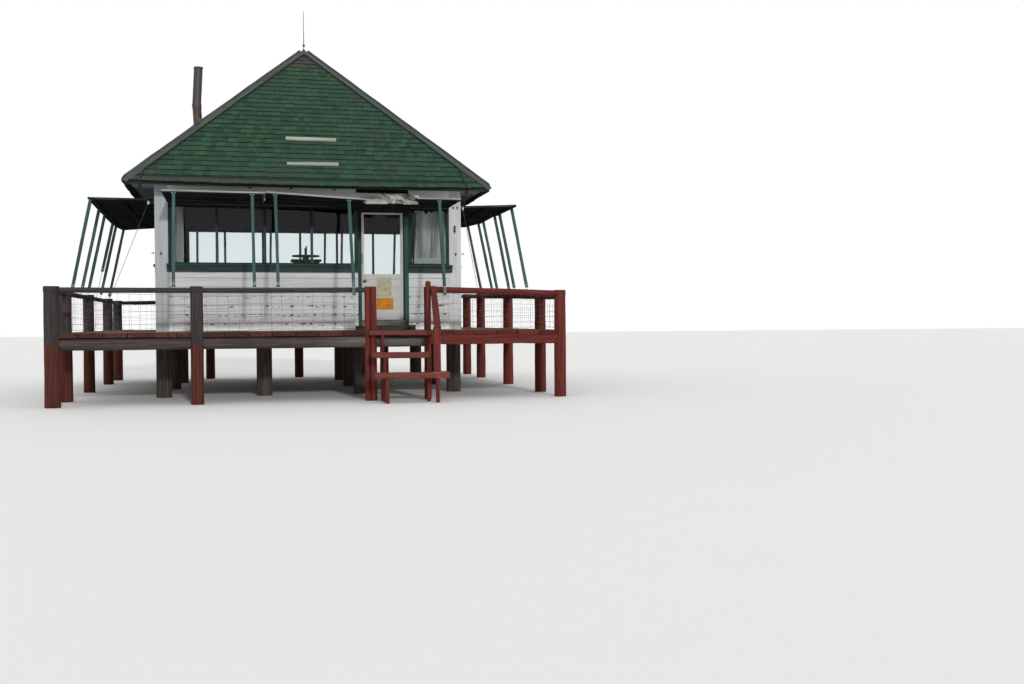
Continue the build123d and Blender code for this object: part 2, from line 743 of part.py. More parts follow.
def roof_cleats():
    """Two cleats nailed across the front slope."""
    cleats = []
    for level in CLEAT_LEVELS:
        z = DECK_TOP + level
        y = MIDDLE - EAVE_HALF + (z - EAVE - ROOF_DROP) / SLOPE
        bottom = (Align.CENTER, Align.CENTER, Align.MIN)
        cleat = Box(CLEAT_LENGTH, CLEAT_WIDTH, CLEAT_THICK, align=bottom)
        cleats.append(Pos(0, y, z) * Rot(ROOF_PITCH, 0, 0) * cleat)
    return cleats


def soffit_boards():
    """Four mitred boards between the walls and the roof's underside."""
    outer = EAVE_HALF - (SOFFIT_RISE + SOFFIT_THICK) / SLOPE
    outline = Polyline(
        (-outer + SOFFIT_GAP, -outer), (outer - SOFFIT_GAP, -outer),
        (HALF - SOFFIT_GAP, -HALF), (-HALF + SOFFIT_GAP, -HALF), close=True,
    )
    board = Pos(0, MIDDLE, EAVE + SOFFIT_RISE) * extrude(make_face(outline), SOFFIT_THICK)
    return [round_about(board, quarter) for quarter in range(4)]


def roof_height(x, y):
    """The height of the roof's upper side over a point."""
    return APEX - max(abs(x), abs(y - MIDDLE)) * SLOPE


def stovepipe():
    """A sheet-metal pipe with a raised joint half-way and an open top."""
    y = FRONT + PIPE_Y
    foot = roof_height(PIPE_X, y) - PIPE_FOOT
    joint = DECK_TOP + PIPE_JOINT
    below, over = PIPE_JOINT_ENDS
    top = DECK_TOP + PIPE_TOP
    sleeve = PIPE_RADIUS + PIPE_JOINT_PROUD
    rim = PIPE_RADIUS + PIPE_RIM_PROUD
    outer = fuse([
        upright(PIPE_X, y, foot, top, PIPE_RADIUS, PIPE_RADIUS),
        upright(PIPE_X, y, joint - below, joint + over, sleeve, sleeve),
        upright(PIPE_X, y, top - PIPE_RIM, top, rim, rim),
    ])
    inner = PIPE_RADIUS - PIPE_WALL
    bore = upright(PIPE_X, y, foot + PIPE_PLUG, top + EPS, inner, inner)
    return outer - bore


def pipe_core():
    """The round space that the pipe takes up, to cut what it passes through."""
    y = FRONT + PIPE_Y
    return upright(PIPE_X, y, EAVE, DECK_TOP + PIPE_TOP, PIPE_RADIUS, PIPE_RADIUS)


def pipe_flashing():
    """A cone of sheet metal round the pipe's foot."""
    y = FRONT + PIPE_Y
    top = roof_height(PIPE_X, y) + FLASHING_RISE
    collar = PIPE_RADIUS + FLASHING_COLLAR
    cone = upright(PIPE_X, y, top - FLASHING_HEIGHT, top, FLASHING_RADIUS, collar)
    return cone - under_roof() - pipe_core()


def under_roof():
    """The space under the left slope, to cut what stands on it."""
    profile = Polyline(
        (-EAVE_HALF, DECK_TOP), (-EAVE_HALF, EAVE + ROOF_DROP), (0, APEX), (0, DECK_TOP), close=True,
    )
    return Pos(0, MIDDLE, 0) * extrude(Plane.XZ * make_face(profile), EAVE_HALF, both=True)


def lightning_rod():
    """A tapered rod on a small pyramid that closes the roof's peak."""
    rise = HIP_THICK / cos(radians(ROOF_PITCH))
    half = PEAK_HALF - ROD_CAP_CLEAR
    base = APEX - half * SLOPE
    cap = Pos(0, MIDDLE, base) * loft([
        Rectangle(2 * half, 2 * half),
        Pos(0, 0, half * SLOPE + rise - ROD_CAP_DROP) * Rectangle(ROD_CAP_TOP, ROD_CAP_TOP),
    ])
    rod = upright(0, MIDDLE, APEX, APEX + rise + ROD_HEIGHT, ROD_RADIUS, ROD_RADIUS / 2)
    ball = Pos(0, MIDDLE, APEX + rise + ROD_BALL_LEVEL) * Sphere(ROD_BALL_RADIUS)
    return fuse([cap, rod, ball]) - roof_peak()


def roof_peak():
    """The roof's peak as one pyramid, to cut what sits on it."""
    foot = 2 * PEAK_CUT / SLOPE
    return Pos(0, MIDDLE, APEX - PEAK_CUT + CABLE_LIFT) * loft([
        Rectangle(foot, foot),
        Pos(0, 0, PEAK_CUT - EPS / 2) * Rectangle(EPS / SLOPE, EPS / SLOPE),
    ])


def shutter_ends(i):
    """The two ends of one of the three shutters on a side."""
    pitch = SHUTTER_SPAN / 3
    start = -SHUTTER_SPAN / 2 + i * pitch
    return start + SHUTTER_GAP / 2, start + pitch - SHUTTER_GAP / 2


def front_space():
    """The front wall's own space over the deck, to cut what hangs on it."""
    return block(-HALF, HALF, FRONT, FRONT + WALL, DECK_TOP, EAVE)


def shutter(x0, x1, rise, lean):
    """A boarded panel from the window head out to its propped edge, leaning along its length."""
    half = (x1 - x0) / 2
    panel = block(-half, half, -SHUTTER_REACH, 0, -SHUTTER_THICK / 2, SHUTTER_THICK / 2)
    place = Pos(x0 + half, FRONT - EPS, DECK_TOP + SHUTTER_LEVEL)
    return place * Rot(0, lean, 0) * Rot(-rise, 0, 0) * panel - front_space()


def broken_shutter():
    """The front wall's right shutter: its whole part, boards that sag and boards that lie loose."""
    rise, lean = FRONT_TILTS[2]
    pieces = [shutter(WHOLE_FROM, shutter_ends(2)[1], rise, lean)]
    pieces += [shutter(x0, x1, -sag, 0) for x0, x1, sag in SAGGING_BOARDS]
    for (x0, z0), (x1, reach, z1), width in LOOSE_BOARDS:
        inner = Vector(x0, FRONT + EPS, DECK_TOP + z0)
        outer = Vector(x1, FRONT - reach, DECK_TOP + z1)
        board = bar(inner, outer, width, LOOSE_THICK, (1, 0, 0))
        pieces.append(board - front_space())
    return pieces


def prop_top(x, i, rise, lean):
    """Where a strut meets a shutter, near its outer edge."""
    middle = sum(shutter_ends(i)) / 2
    out = SHUTTER_REACH - STRUT_EDGE
    level = SHUTTER_LEVEL + out * sin(radians(rise)) - (x - middle) * sin(radians(lean))
    return Vector(x, FRONT - out, DECK_TOP + level)


def strut(top, reach, level, radius, rod_end, panel, rail):
    """A prop from a shutter down to the rail, ending in a thin rod."""
    foot = Vector(top.X + STRUT_DRIFT, FRONT - reach, DECK_TOP + level)
    run = (foot - top).normalized()
    prop_end = foot - run * (radius + rod_end)
    prop = bar(top, prop_end, STRUT_WIDTH, STRUT_WIDTH, (1, 0, 0))
    rod = pole(prop_end - run * STRUT_WIDTH, foot, STRUT_ROD_RADIUS)
    return prop + rod - panel - rail


def lapped_strut(top, level, radius, panel, rail):
    """A prop from a shutter down past the front rail's outer side."""
    beside = radius + STRUT_WIDTH / 2 - LAP_BITE
    by_rail = Vector(top.X + STRUT_DRIFT, POST_Y - beside, DECK_TOP + level)
    run = (by_rail - top).normalized()
    return bar(top, by_rail + run * LAP_LENGTH, STRUT_WIDTH, STRUT_WIDTH, (1, 0, 0)) - panel - rail


def side_struts(panels, tilts, places, line):
    """Two props to each of a side's three shutters, before they are turned to their own side."""
    ends, levels, reach, radius = line
    rail = outer_rail(*line)
    struts = []
    for i, (panel, (rise, lean), row) in enumerate(zip(panels, tilts, places)):
        for x, rod_end in row:
            level = between(levels, ends[0], ends[1], x + STRUT_DRIFT)
            struts.append(strut(prop_top(x, i, rise, lean), reach, level, radius, rod_end, panel, rail))
    return struts


def solids_of(shape):
    """The separate solids of a shape, as a list."""
    return list(shape.solids())


def as_part(pieces):
    """One shape from one piece or a list of pieces that don't touch."""
    if isinstance(pieces, list):
        flat = []
        for piece in pieces:
            flat += solids_of(piece)
        return Compound(children=flat) if len(flat) > 1 else flat[0]
    return pieces


def fire_finder():
    """A round sighting table with two upright sights, on the stand."""
    base = FLOOR_TOP + STAND_HEIGHT
    disc = base + FINDER_HUB
    top = disc + FINDER_DISC
    half = SIGHT_WIDTH / 2
    near, far = MIDDLE - FINDER_RADIUS, MIDDLE + FINDER_RADIUS
    return fuse([
        upright(0, MIDDLE, base, disc, FINDER_HUB, FINDER_HUB),
        upright(0, MIDDLE, disc, top, FINDER_RADIUS, FINDER_RADIUS),
        block(-half, half, near, near + SIGHT_THICK, top, top + SIGHT_HEIGHT),
        block(-half, half, far - SIGHT_THICK, far, top, top + SIGHT_HEIGHT),
    ])


def finder_stand():
    """A closed wooden stand for the fire finder."""
    half = STAND_WIDTH / 2
    lip = half + STAND_LIP
    top = FLOOR_TOP + STAND_HEIGHT
    case = block(-half, half, MIDDLE - half, MIDDLE + half, FLOOR_TOP, top - STAND_BOARD)
    board = block(-lip, lip, MIDDLE - lip, MIDDLE + lip, top - STAND_BOARD, top)
    return case + board


def curtain(middle, width):
    """A curtain that hangs inside a front window, round a place along the wall."""
    y = FRONT + WALL
    low = DECK_TOP + SILL_TOP
    high = DECK_TOP + WINDOW_HEAD + CURTAIN_RISE
    return block(middle - width / 2, middle + width / 2, y, y + CURTAIN_THICK, low, high)


def cable_run(points):
    """A cable along straight runs, with round elbows."""
    runs = [pole(a, b, CABLE_RADIUS) for a, b in zip(points, points[1:])]
    elbows = [Pos(*point) * Sphere(CABLE_RADIUS) for point in points[1:-1]]
    return fuse(runs + elbows)


def lightning_cables():
    """Cables down the front hips and over the eave, then taut to the side posts."""
    pitch = radians(ROOF_PITCH)
    rise = CABLE_RADIUS / cos(pitch) + CABLE_LIFT
    offset = (HIP_BOARD + CABLE_RADIUS + CABLE_OFF_BOARD) * sqrt(1 + cos(pitch) ** 2)
    cables = []
    post_y = FRONT + SIDE_POST_Y[-1]
    for side, levels in ((-1, LEFT_RAIL_LEVELS), (1, RIGHT_RAIL_LEVELS)):
        run = [(side * CABLE_PEAK_GAP, offset + CABLE_PEAK_GAP), (side * (CABLE_TURN - offset), CABLE_TURN)]
        run.append((side * (CABLE_TURN - offset / 2), EAVE_HALF + rise))
        points = [(x, MIDDLE - t, APEX - t * SLOPE + rise) for x, t in run]
        points.append((points[-1][0], points[-1][1], EAVE - CABLE_DROP))
        level = DECK_TOP + WINDOW_HEAD - BRACKET_DROP
        bracket = (side * (HALF + BRACKET_OUT), FRONT - BRACKET_PROUD, level)
        top = post_top(between(levels, POST_Y, BACK_POST_Y, post_y))
        points += [bracket, (side * (EDGE_X - POST_TOP_RADIUS), post_y, top + CABLE_RADIUS + EPS)]
        cables.append(cable_run(points))
    return cables


posts = deck_posts()
stair = stair_posts()
uprights = posts + stair
log_beam, red_beam = front_beams(uprights)
outer = outer_beams(posts, [log_beam, red_beam])
rail_left, rail_right = front_rails(uprights)
rails = outer_rails(posts)
wall_left = -HALF + CORNER_BOARD
wall_right = HALF - CORNER_BOARD
by_door_left = DOOR_LEFT - JAMB_LEFT
by_door_right = DOOR_RIGHT + JAMB_RIGHT
glass = [glass_sheet(wall_left, by_door_left), glass_sheet(by_door_right, wall_right)]
side_glass = glass_sheet(wall_left, wall_right)
side_frame = window_frame(wall_left, wall_right, SIDE_BAYS)
side_sill = window_sill(wall_left, wall_right, 0, 0)
side_panel = wall_panel(wall_left, wall_right)
frame = stair_frame()
slope = roof_slope()
slopes = [round_about(slope, quarter) for quarter in range(4)]
pipe = stovepipe()
hinges_fixed, hinges_moving = hinge_parts()
knob = door_knob()

front_panels = [shutter(*shutter_ends(i), *FRONT_TILTS[i]) for i in range(2)]
broken = broken_shutter()
propped = front_panels + [broken[0]]
both_rails = rail_left + rail_right
front_struts = []
for i, row in enumerate(FRONT_STRUTS):
    for x, rod_end in row:
        top = prop_top(x, i, *FRONT_TILTS[i])
        prop = strut(top, DECK_FRONT, RAIL_LEVEL, RAIL_RADIUS, rod_end, propped[i], both_rails)
        front_struts.append(prop)
for i, (x, radius) in enumerate(zip(LAPPED_STRUTS, (RAIL_RADIUS, RED_RAIL_RADIUS)), 1):
    top = prop_top(x, i, *FRONT_TILTS[i])
    front_struts.append(lapped_strut(top, RAIL_LEVEL, radius, propped[i], both_rails))

outer_panels = []
outer_struts = []
outer_tilts = (RIGHT_TILTS, BACK_TILTS, LEFT_TILTS)
strut_places = (RIGHT_STRUTS, BACK_STRUTS, LEFT_STRUTS)
sides = zip(outer_tilts, strut_places, outer_rail_lines())
for quarter, (tilts, places, line) in enumerate(sides, 1):
    panels = [shutter(*shutter_ends(i), *tilts[i]) for i in range(3)]
    outer_panels += [round_about(panel, quarter) for panel in panels]
    for prop in side_struts(panels, tilts, places, line):
        outer_struts.append(trim(round_about(prop, quarter), posts))


nodes = {
    "foundation_posts": foundation_posts(),
    "cabin_sills": cabin_sills(),
    "floor_joists": floor_joists(),
    "cabin_floor": cabin_floor(),
    "deck_posts": posts,
    "stair_posts": stair,
    "front_beam_left": solids_of(log_beam),
    "front_beam_right": solids_of(red_beam),
    "outer_beams": outer,
    "deck_ledgers": deck_ledgers(outer),
    "front_deck": front_deck(uprights),
    "side_decks": side_decks(posts),
    "back_deck": back_deck(posts),
    "front_rail_left": solids_of(rail_left),
    "front_rail_right": solids_of(rail_right),
    "outer_rails": rails,
    "stair_treads": stair_treads(uprights),
    "stair_frame": frame,
    "stair_handrail": stair_handrail(uprights + [rail_right], frame),
    "front_wall_left": wall_panel(wall_left, by_door_left),
    "front_wall_right": wall_panel(by_door_right, wall_right),
    "right_wall": round_about(side_panel, 1),
    "back_wall": round_about(side_panel, 2),
    "left_wall": round_about(side_panel, 3),
    "wall_heads": wall_heads(),
    "corner_posts": corner_posts(),
    "front_window_frames": [
        window_frame(wall_left, by_door_left, FRONT_BAYS),
        window_frame(by_door_right, wall_right, 1),
    ],
    "outer_window_frames": [round_about(side_frame, quarter) for quarter in (1, 2, 3)],
    "window_glass": glass + [round_about(side_glass, quarter) for quarter in (1, 2, 3)],
    "window_sills": [
        window_sill(wall_left, by_door_left, SILL_LEFT_EAR, 0),
        window_sill(by_door_right, wall_right, 0, SILL_RIGHT_EAR),
    ] + [round_about(side_sill, quarter) for quarter in (1, 2, 3)],
    "ceiling": ceiling(),
    "soffit_boards": soffit_boards(),
    "roof_front": slopes[0],
    "roof_right": slopes[1],
    "roof_back": slopes[2],
    "roof_left": slopes[3] - pipe_core(),
    "hip_caps": hip_caps(),
    "roof_cleats": roof_cleats(),
    "stovepipe": pipe,
    "pipe_flashing": pipe_flashing(),
    "lightning_rod": lightning_rod(),
    "lightning_cables": lightning_cables(),
    "front_shutter_left": front_panels[0],
    "front_shutter_middle": front_panels[1],
    "front_shutter_right": broken,
    "outer_shutters": outer_panels,
    "front_struts": front_struts,
    "outer_struts": outer_struts,
    "door_frame": door_frame(),
    "door_leaf": door_leaf(),
    "door_glass": door_glass(),
    "door_knob": knob,
    "door_hinges": hinges_fixed,
    "door_knuckles": hinges_moving,
    "door_step": door_step(),
    "fire_finder": fire_finder(),
    "finder_stand": finder_stand(),
    "curtain_left": curtain(wall_left + LEFT_CURTAIN_WIDTH / 2, LEFT_CURTAIN_WIDTH),
    "curtain_right": curtain((by_door_right + wall_right) / 2, CURTAIN_WIDTH),
}

os.makedirs("parts", exist_ok=True)
for name, pieces in nodes.items():
    export_step(as_part(pieces), f"parts/{name}.step")
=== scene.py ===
from functools import reduce
from math import cos, pi, radians, sin, tan

import bpy
import numpy as np
from mathutils import Matrix, Vector


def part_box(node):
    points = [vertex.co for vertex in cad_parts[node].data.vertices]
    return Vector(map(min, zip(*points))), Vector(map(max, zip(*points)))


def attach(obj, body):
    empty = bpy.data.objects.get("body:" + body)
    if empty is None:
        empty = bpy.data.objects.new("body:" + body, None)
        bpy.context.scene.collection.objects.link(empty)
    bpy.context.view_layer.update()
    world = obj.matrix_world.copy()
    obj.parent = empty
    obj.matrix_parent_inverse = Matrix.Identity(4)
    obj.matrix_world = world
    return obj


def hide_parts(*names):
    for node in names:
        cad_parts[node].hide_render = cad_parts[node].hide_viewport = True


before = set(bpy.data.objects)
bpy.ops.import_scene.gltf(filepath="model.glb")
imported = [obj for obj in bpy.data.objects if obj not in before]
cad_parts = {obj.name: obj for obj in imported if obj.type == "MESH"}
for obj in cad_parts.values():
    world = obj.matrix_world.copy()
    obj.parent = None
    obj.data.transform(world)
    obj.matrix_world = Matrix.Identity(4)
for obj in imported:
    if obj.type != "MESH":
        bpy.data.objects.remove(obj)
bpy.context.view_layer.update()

# Levels and lines of the cabin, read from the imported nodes
WALL_LOW, WALL_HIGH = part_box("corner_posts")
FRONT, BACK, HALF = WALL_LOW.y, WALL_HIGH.y, WALL_HIGH.x
MIDDLE = (FRONT + BACK) / 2
BEAM_TOP, DECK_TOP = (corner.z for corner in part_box("front_deck"))
SILL_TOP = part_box("window_sills")[1].z
FLOOR_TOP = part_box("cabin_floor")[1].z
WINDOW_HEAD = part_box("outer_window_frames")[1].z
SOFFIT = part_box("soffit_boards")[0].z
BEAM_RADIUS, RAIL_RADIUS, RED_RADIUS = 0.062, 0.038, 0.048
EDGE_X, BACK_POST_Y = (value - BEAM_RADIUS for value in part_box("outer_beams")[1][:2])
POST_Y, RAIL_LEVEL = (value + RAIL_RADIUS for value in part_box("front_rail_left")[0][1:])
JAMB_LEFT, JAMB_RIGHT = (corner.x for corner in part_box("door_frame"))
INNER_EDGE = HALF - 0.2  # of the corner boards
SIDING = 0.018
LAP = 0.1445
LAP_START = DECK_TOP + 0.1285
OVER_RAIL = 0.052
PLANK = 0.33

# The rails' levels over the deck, at each one's two ends
RED_LEVELS = (0.622, 0.564)
LEFT_LEVELS = (0.600, 0.560)
RIGHT_LEVELS = (0.515, 0.695)

# Roof: its eave, peak, pitch and courses
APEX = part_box("roof_front")[1].z
EAVE_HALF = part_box("roof_front")[1].x
PITCH = radians(44.4)
EAVE_TOP = APEX - EAVE_HALF * tan(PITCH)
SLOPE_LENGTH = EAVE_HALF / cos(PITCH)
COURSE = 0.13

# Shutters: where they hang, how far they reach, and each one's rise and lean in degrees
SHUTTER_LEVEL = DECK_TOP + 2.052
SHUTTER_REACH = 1.01
SHUTTER_PITCH = 4.52 / 3
STRUT_OUT = SHUTTER_REACH - 0.045
FRONT_TILTS = ((2.4, 0.3), (0.6, 3.0), (0.2, 0.3))
RIGHT_TILTS = ((2.6, 0.65), (2.5, 1.3), (3.6, -2.2))
BACK_TILTS = ((0.8, 0),) * 3
LEFT_TILTS = ((-4.6, 1.0), (-3.6, -2.8), (0.5, -2.8))

# Where the cables leave the eave: the clamp's place and level, and the level of their brackets
LEFT_CLAMP, RIGHT_CLAMP, BRACKET = (2.62, 3.29), (2.481, 3.323), 3.07

# The walls between the corner boards: each one's side, and where it starts and ends
WALLS = ((0, -INNER_EDGE, JAMB_LEFT), (0, JAMB_RIGHT, INNER_EDGE),
         *((quarter, -INNER_EDGE, INNER_EDGE) for quarter in (1, 2, 3)))

# How worn a board's edges are: rings along it, and the reach of its waves
SHORT, LONG, STILL = dict(rings=5, wear=0.001), dict(rings=9, wear=0.001), dict(rings=3, wear=0)
FINE, WORN, TRIM = dict(rings=5, wear=0.0005), dict(rings=9, wear=0.004), dict(rings=14, wear=0.002)
ACROSS = (1, 0, 0)


def add_node(tree, kind, inputs, **settings):
    """A new node's outputs. Each of its inputs is linked to an output or set to a value."""
    node = tree.nodes.new("ShaderNode" + kind)
    for label, value in settings.items():
        setattr(node, label, value)
    for label, value in inputs.items():
        if isinstance(value, bpy.types.NodeSocket):
            tree.links.new(value, node.inputs[label])
        else:
            node.inputs[label].default_value = value
    return node.outputs


def linear(colour):
    """A colour for a socket: three display values from 0 to 255 become linear light."""
    if not isinstance(colour, tuple) or len(colour) == 4:
        return colour
    parts = [value / 255 for value in colour]
    return tuple(p / 12.92 if p <= 0.04045 else ((p + 0.055) / 1.055) ** 2.4 for p in parts) + (1,)


class Look:
    """A material and the nodes that lead to its shader."""

    def __init__(self, name, roughness=0.8, metallic=0.0, **sockets):
        self.material = bpy.data.materials.new(name)
        self.material.use_nodes = True
        self.tree = self.material.node_tree
        self.shader = self.tree.nodes["Principled BSDF"]
        for label, value in dict(sockets, Roughness=roughness, Metallic=metallic).items():
            self.shader.inputs[label.replace("_", " ")].default_value = value

    def node(self, kind, **inputs):
        return add_node(self.tree, kind, inputs)

    def attribute(self, name, output="Vector"):
        return add_node(self.tree, "Attribute", {}, attribute_name=name)[output]

    def place(self):
        return self.node("TexCoord")["Object"]

    def scaled(self, vector, scale):
        return self.node("Mapping", Vector=vector, Scale=scale)["Vector"]

    def noise(self, vector, scale, detail=4.0, rough=0.55, twist=0.0):
        facts = dict(Vector=vector, Scale=scale, Detail=detail, Roughness=rough, Distortion=twist)
        return self.node("TexNoise", **facts)["Fac"]

    def part(self, vector, axis):
        return self.node("SeparateXYZ", Vector=vector)[axis]

    def math(self, operation, *values):
        return add_node(self.tree, "Math", dict(enumerate(values)), operation=operation)[0]

    def times(self, a, b):
        return self.math("MULTIPLY", a, b)

    def add(self, a, b, weight=1.0):
        """a and a share of b."""
        return self.math("MULTIPLY_ADD", b, weight, a)

    def most(self, *values):
        return reduce(lambda a, b: self.math("MAXIMUM", a, b), values)

    def fade(self, value, low, high):
        """0 below low, 1 above high, smooth between; low may be over high."""
        ends = dict(zip(("From Min", "From Max", "To Min", "To Max"),
                        (low, high, 0.0, 1.0) if low < high else (high, low, 1.0, 0.0)))
        return add_node(self.tree, "MapRange", {"Value": value, **ends}, interpolation_type="SMOOTHSTEP")["Result"]

    def mix(self, share, a, b, blend="MIX"):
        inputs = dict(Factor=share, A=linear(a), B=linear(b))
        return add_node(self.tree, "Mix", inputs, data_type="RGBA", blend_type=blend)["Result"]

    def finish(self, colour, height, strength, distance):
        """Give the shader its colour and bumps."""
        normal = self.node("Bump", Strength=strength, Distance=distance, Height=height)["Normal"]
        self.tree.links.new(colour, self.shader.inputs["Base Color"])
        self.tree.links.new(normal, self.shader.inputs["Normal"])
        return self.material

    def board_edge(self):
        """1 along a board's long edges and 0 in the middle of its faces."""
        form = self.attribute("form")
        u, v = (self.math("ABSOLUTE", self.part(form, axis)) for axis in "XY")
        return self.fade(self.math("MINIMUM", u, v), 0.72, 1.0)


def beyond(axis, start, full, wobble=0.2):
    """Where a second colour grows along an axis of the cabin, from start to full."""
    return lambda look, blotch: look.fade(look.add(look.part(look.place(), axis), blotch, wobble),
                                          start + wobble / 2, full + wobble / 2)


def facing(axis, sign):
    """Where a surface faces along an axis."""
    return lambda look, blotch: look.fade(look.part(look.node("NewGeometry")["Normal"], axis), 0.3 * sign, 0.7 * sign)


def chips(scale, limit, stretch=(1, 1, 1)):
    """Where paint has come off in flakes of a scale."""
    return lambda look, blotch: look.fade(look.noise(look.scaled(look.place(), stretch), scale, 5.0, 0.65),
                                          limit, limit + 0.03)


def laps(low):
    """Just under each lap of the siding, from low in the lap's height upwards."""
    def share(look, blotch):
        height = look.math("SUBTRACT", look.part(look.place(), "Z"), LAP_START)
        return look.fade(look.math("FRACT", look.math("DIVIDE", height, LAP)), low, 0.5 * (1 + low))
    return share


def overlap(*places):
    """Where several places meet."""
    return lambda look, blotch: reduce(look.times, [place(look, blotch) for place in places])


def indoors(look, blotch):
    """Where a surface is inside the walls."""
    place = look.place()
    y = look.math("SUBTRACT", look.part(place, "Y"), MIDDLE)
    return look.times(*(look.fade(look.math("ABSOLUTE", value), HALF - 0.04, HALF - 0.07)
                        for value in (look.part(place, "X"), y)))


def wood(name, base, dark, worn=None, worn_share=0.3, over=(), place="grain", streak=26.0, shades=0.3,
         edge_wear=0.8, specular=0.2):
    """Wood with grain streaks, board-to-board variation and patches worn down to another colour.
    over lists other pairs of colours and where they lie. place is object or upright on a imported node."""
    look = Look(name, 0.85, Specular_IOR_Level=specular)
    spot = look.attribute("grain") if place == "grain" else look.place()
    run = (streak, streak, 1.1) if place == "upright" else (1.1, streak, streak)
    streaks = look.noise(look.scaled(spot, run), 1.6, 5.0, 0.6, 0.25)
    fine = look.noise(look.scaled(spot, tuple(2.7 if r < 2 else 5 * r for r in run)), 1.0, 3.0, 0.6)
    blotch = look.noise(spot, 2.3, 4.0, 0.6)
    grain = look.fade(streaks, 0.36, 0.66)
    colour = look.mix(grain, base, dark)
    for where, pair in over:
        colour = look.mix(where(look, blotch), colour, look.mix(grain, *pair))
    if worn is not None:
        bare = look.add(look.times(blotch, 0.6), fine, 0.4)
        if place == "grain":
            bare = look.add(bare, look.board_edge(), 0.16 * edge_wear)
        limit = 0.72 - 0.3 * worn_share
        colour = look.mix(look.fade(bare, limit, limit + 0.07), colour, worn)
    if place == "grain":
        tint = look.fade(look.attribute("shade", "Fac"), -0.4, 1.4)
        grey = look.mix(tint, (1 - shades,) * 3 + (1,), (1 + shades * 0.5,) * 3 + (1,))
        colour = look.mix(1.0, colour, grey, "MULTIPLY")
    return look.finish(colour, look.add(look.times(streaks, 0.7), fine, 0.5), 0.55, 0.004)


def metal(name, base, rust, share=0.3, roughness=0.55, metallic=0.6, below=None):
    """Sheet or bar metal with patches of rust or dirt, rustier below a level."""
    look = Look(name, roughness, metallic)
    place = look.place()
    fine = look.noise(place, 81, 4.0)
    both = look.add(look.times(look.noise(place, 9, 6.0, 0.65, 0.4), 0.75), fine, 0.25)
    if below is not None:
        both = look.add(both, look.fade(look.part(place, "Z"), below + 0.25, below - 0.15), 0.16)
    limit = 0.66 - 0.3 * share
    return look.finish(look.mix(look.fade(both, limit, limit + 0.14), base, rust), fine, 0.25, 0.002)


def roof_look():
    """Green paint on wood shingles: each one differs, with bare brown patches near the peak and eaves."""
    look = Look("shingle_green", 0.85, Specular_IOR_Level=0.2)
    place, form = look.place(), look.attribute("form")
    shade = look.attribute("shade", "Fac")
    streaks = look.noise(look.scaled(look.attribute("grain"), (60, 4, 60)), 1.4, 4.0, 0.6)
    blotch = look.noise(place, 1.1, 5.0, 0.6)
    green = look.mix(shade, (33, 59, 43), (47, 80, 59))
    green = look.mix(look.fade(blotch, 0.5, 0.66), green, (46, 68, 56))
    bare = look.mix(look.fade(streaks, 0.35, 0.7), (74, 68, 60), (54, 56, 48))
    height = look.part(place, "Z")
    near_peak = look.fade(look.add(height, blotch, 0.35), APEX - 0.38, APEX - 0.16)
    near_eave = look.fade(look.add(height, blotch, -0.5), EAVE_TOP - 0.06, EAVE_TOP - 0.24)
    left = look.fade(look.part(place, "X"), 0.2, -1.6)
    speckle = look.fade(look.noise(place, 3.4, 6.0, 0.7), 0.64, 0.7)
    share = look.most(look.times(near_peak, 0.85), look.times(look.times(near_eave, left), 0.7),
                      look.times(speckle, 0.45), look.times(look.fade(shade, 0.03, 0.02), 0.35))
    colour = look.mix(share, green, bare)
    colour = look.mix(look.times(look.fade(streaks, 0.45, 0.7), 0.4), colour, (26, 44, 33))
    # painted shade: a dark band just under each next course's butt, and dark butt, side and back faces
    under = look.times(look.fade(look.part(form, "Y"), 0.8, 0.97), 0.8)
    colour = look.mix(look.most(under, look.part(form, "Z")), colour, (20, 31, 25))
    return look.finish(colour, streaks, 0.5, 0.004)


def soft_look(name, light, dark, scale, weave, grain=(1, 1, 1)):
    """Cloth or weathered paper, with uneven patches and a faint weave."""
    look = Look(name, 0.9)
    place = look.place()
    patches = look.noise(look.scaled(place, grain), scale, 4.0)
    return look.finish(look.mix(look.fade(patches, 0.35, 0.7), light, dark), look.noise(place, weave, 2.0), 0.3, 0.001)


def ripple(distance, random, reach):
    """A gentle random wave along a length."""
    wave = np.zeros(len(distance))
    for turn in (0.7, 1.9, 4.3):
        wave += np.sin(distance * turn * 2 * pi * random.uniform(0.7, 1.3) + random.uniform(0, 2 * pi)) / turn ** 0.6
    return wave * reach / 2


def square_to(run):
    """Two directions square to a run and to each other."""
    side = np.cross(run, (0, 0, 1) if abs(run[2]) < 0.9 else (1, 0, 0))
    side = side / np.linalg.norm(side)
    return side, np.cross(run, side)


def circle(sides):
    """Points round a circle of radius 1."""
    angle = np.linspace(0, 2 * pi, sides, endpoint=False)
    return np.stack([np.cos(angle), np.sin(angle)], axis=1)


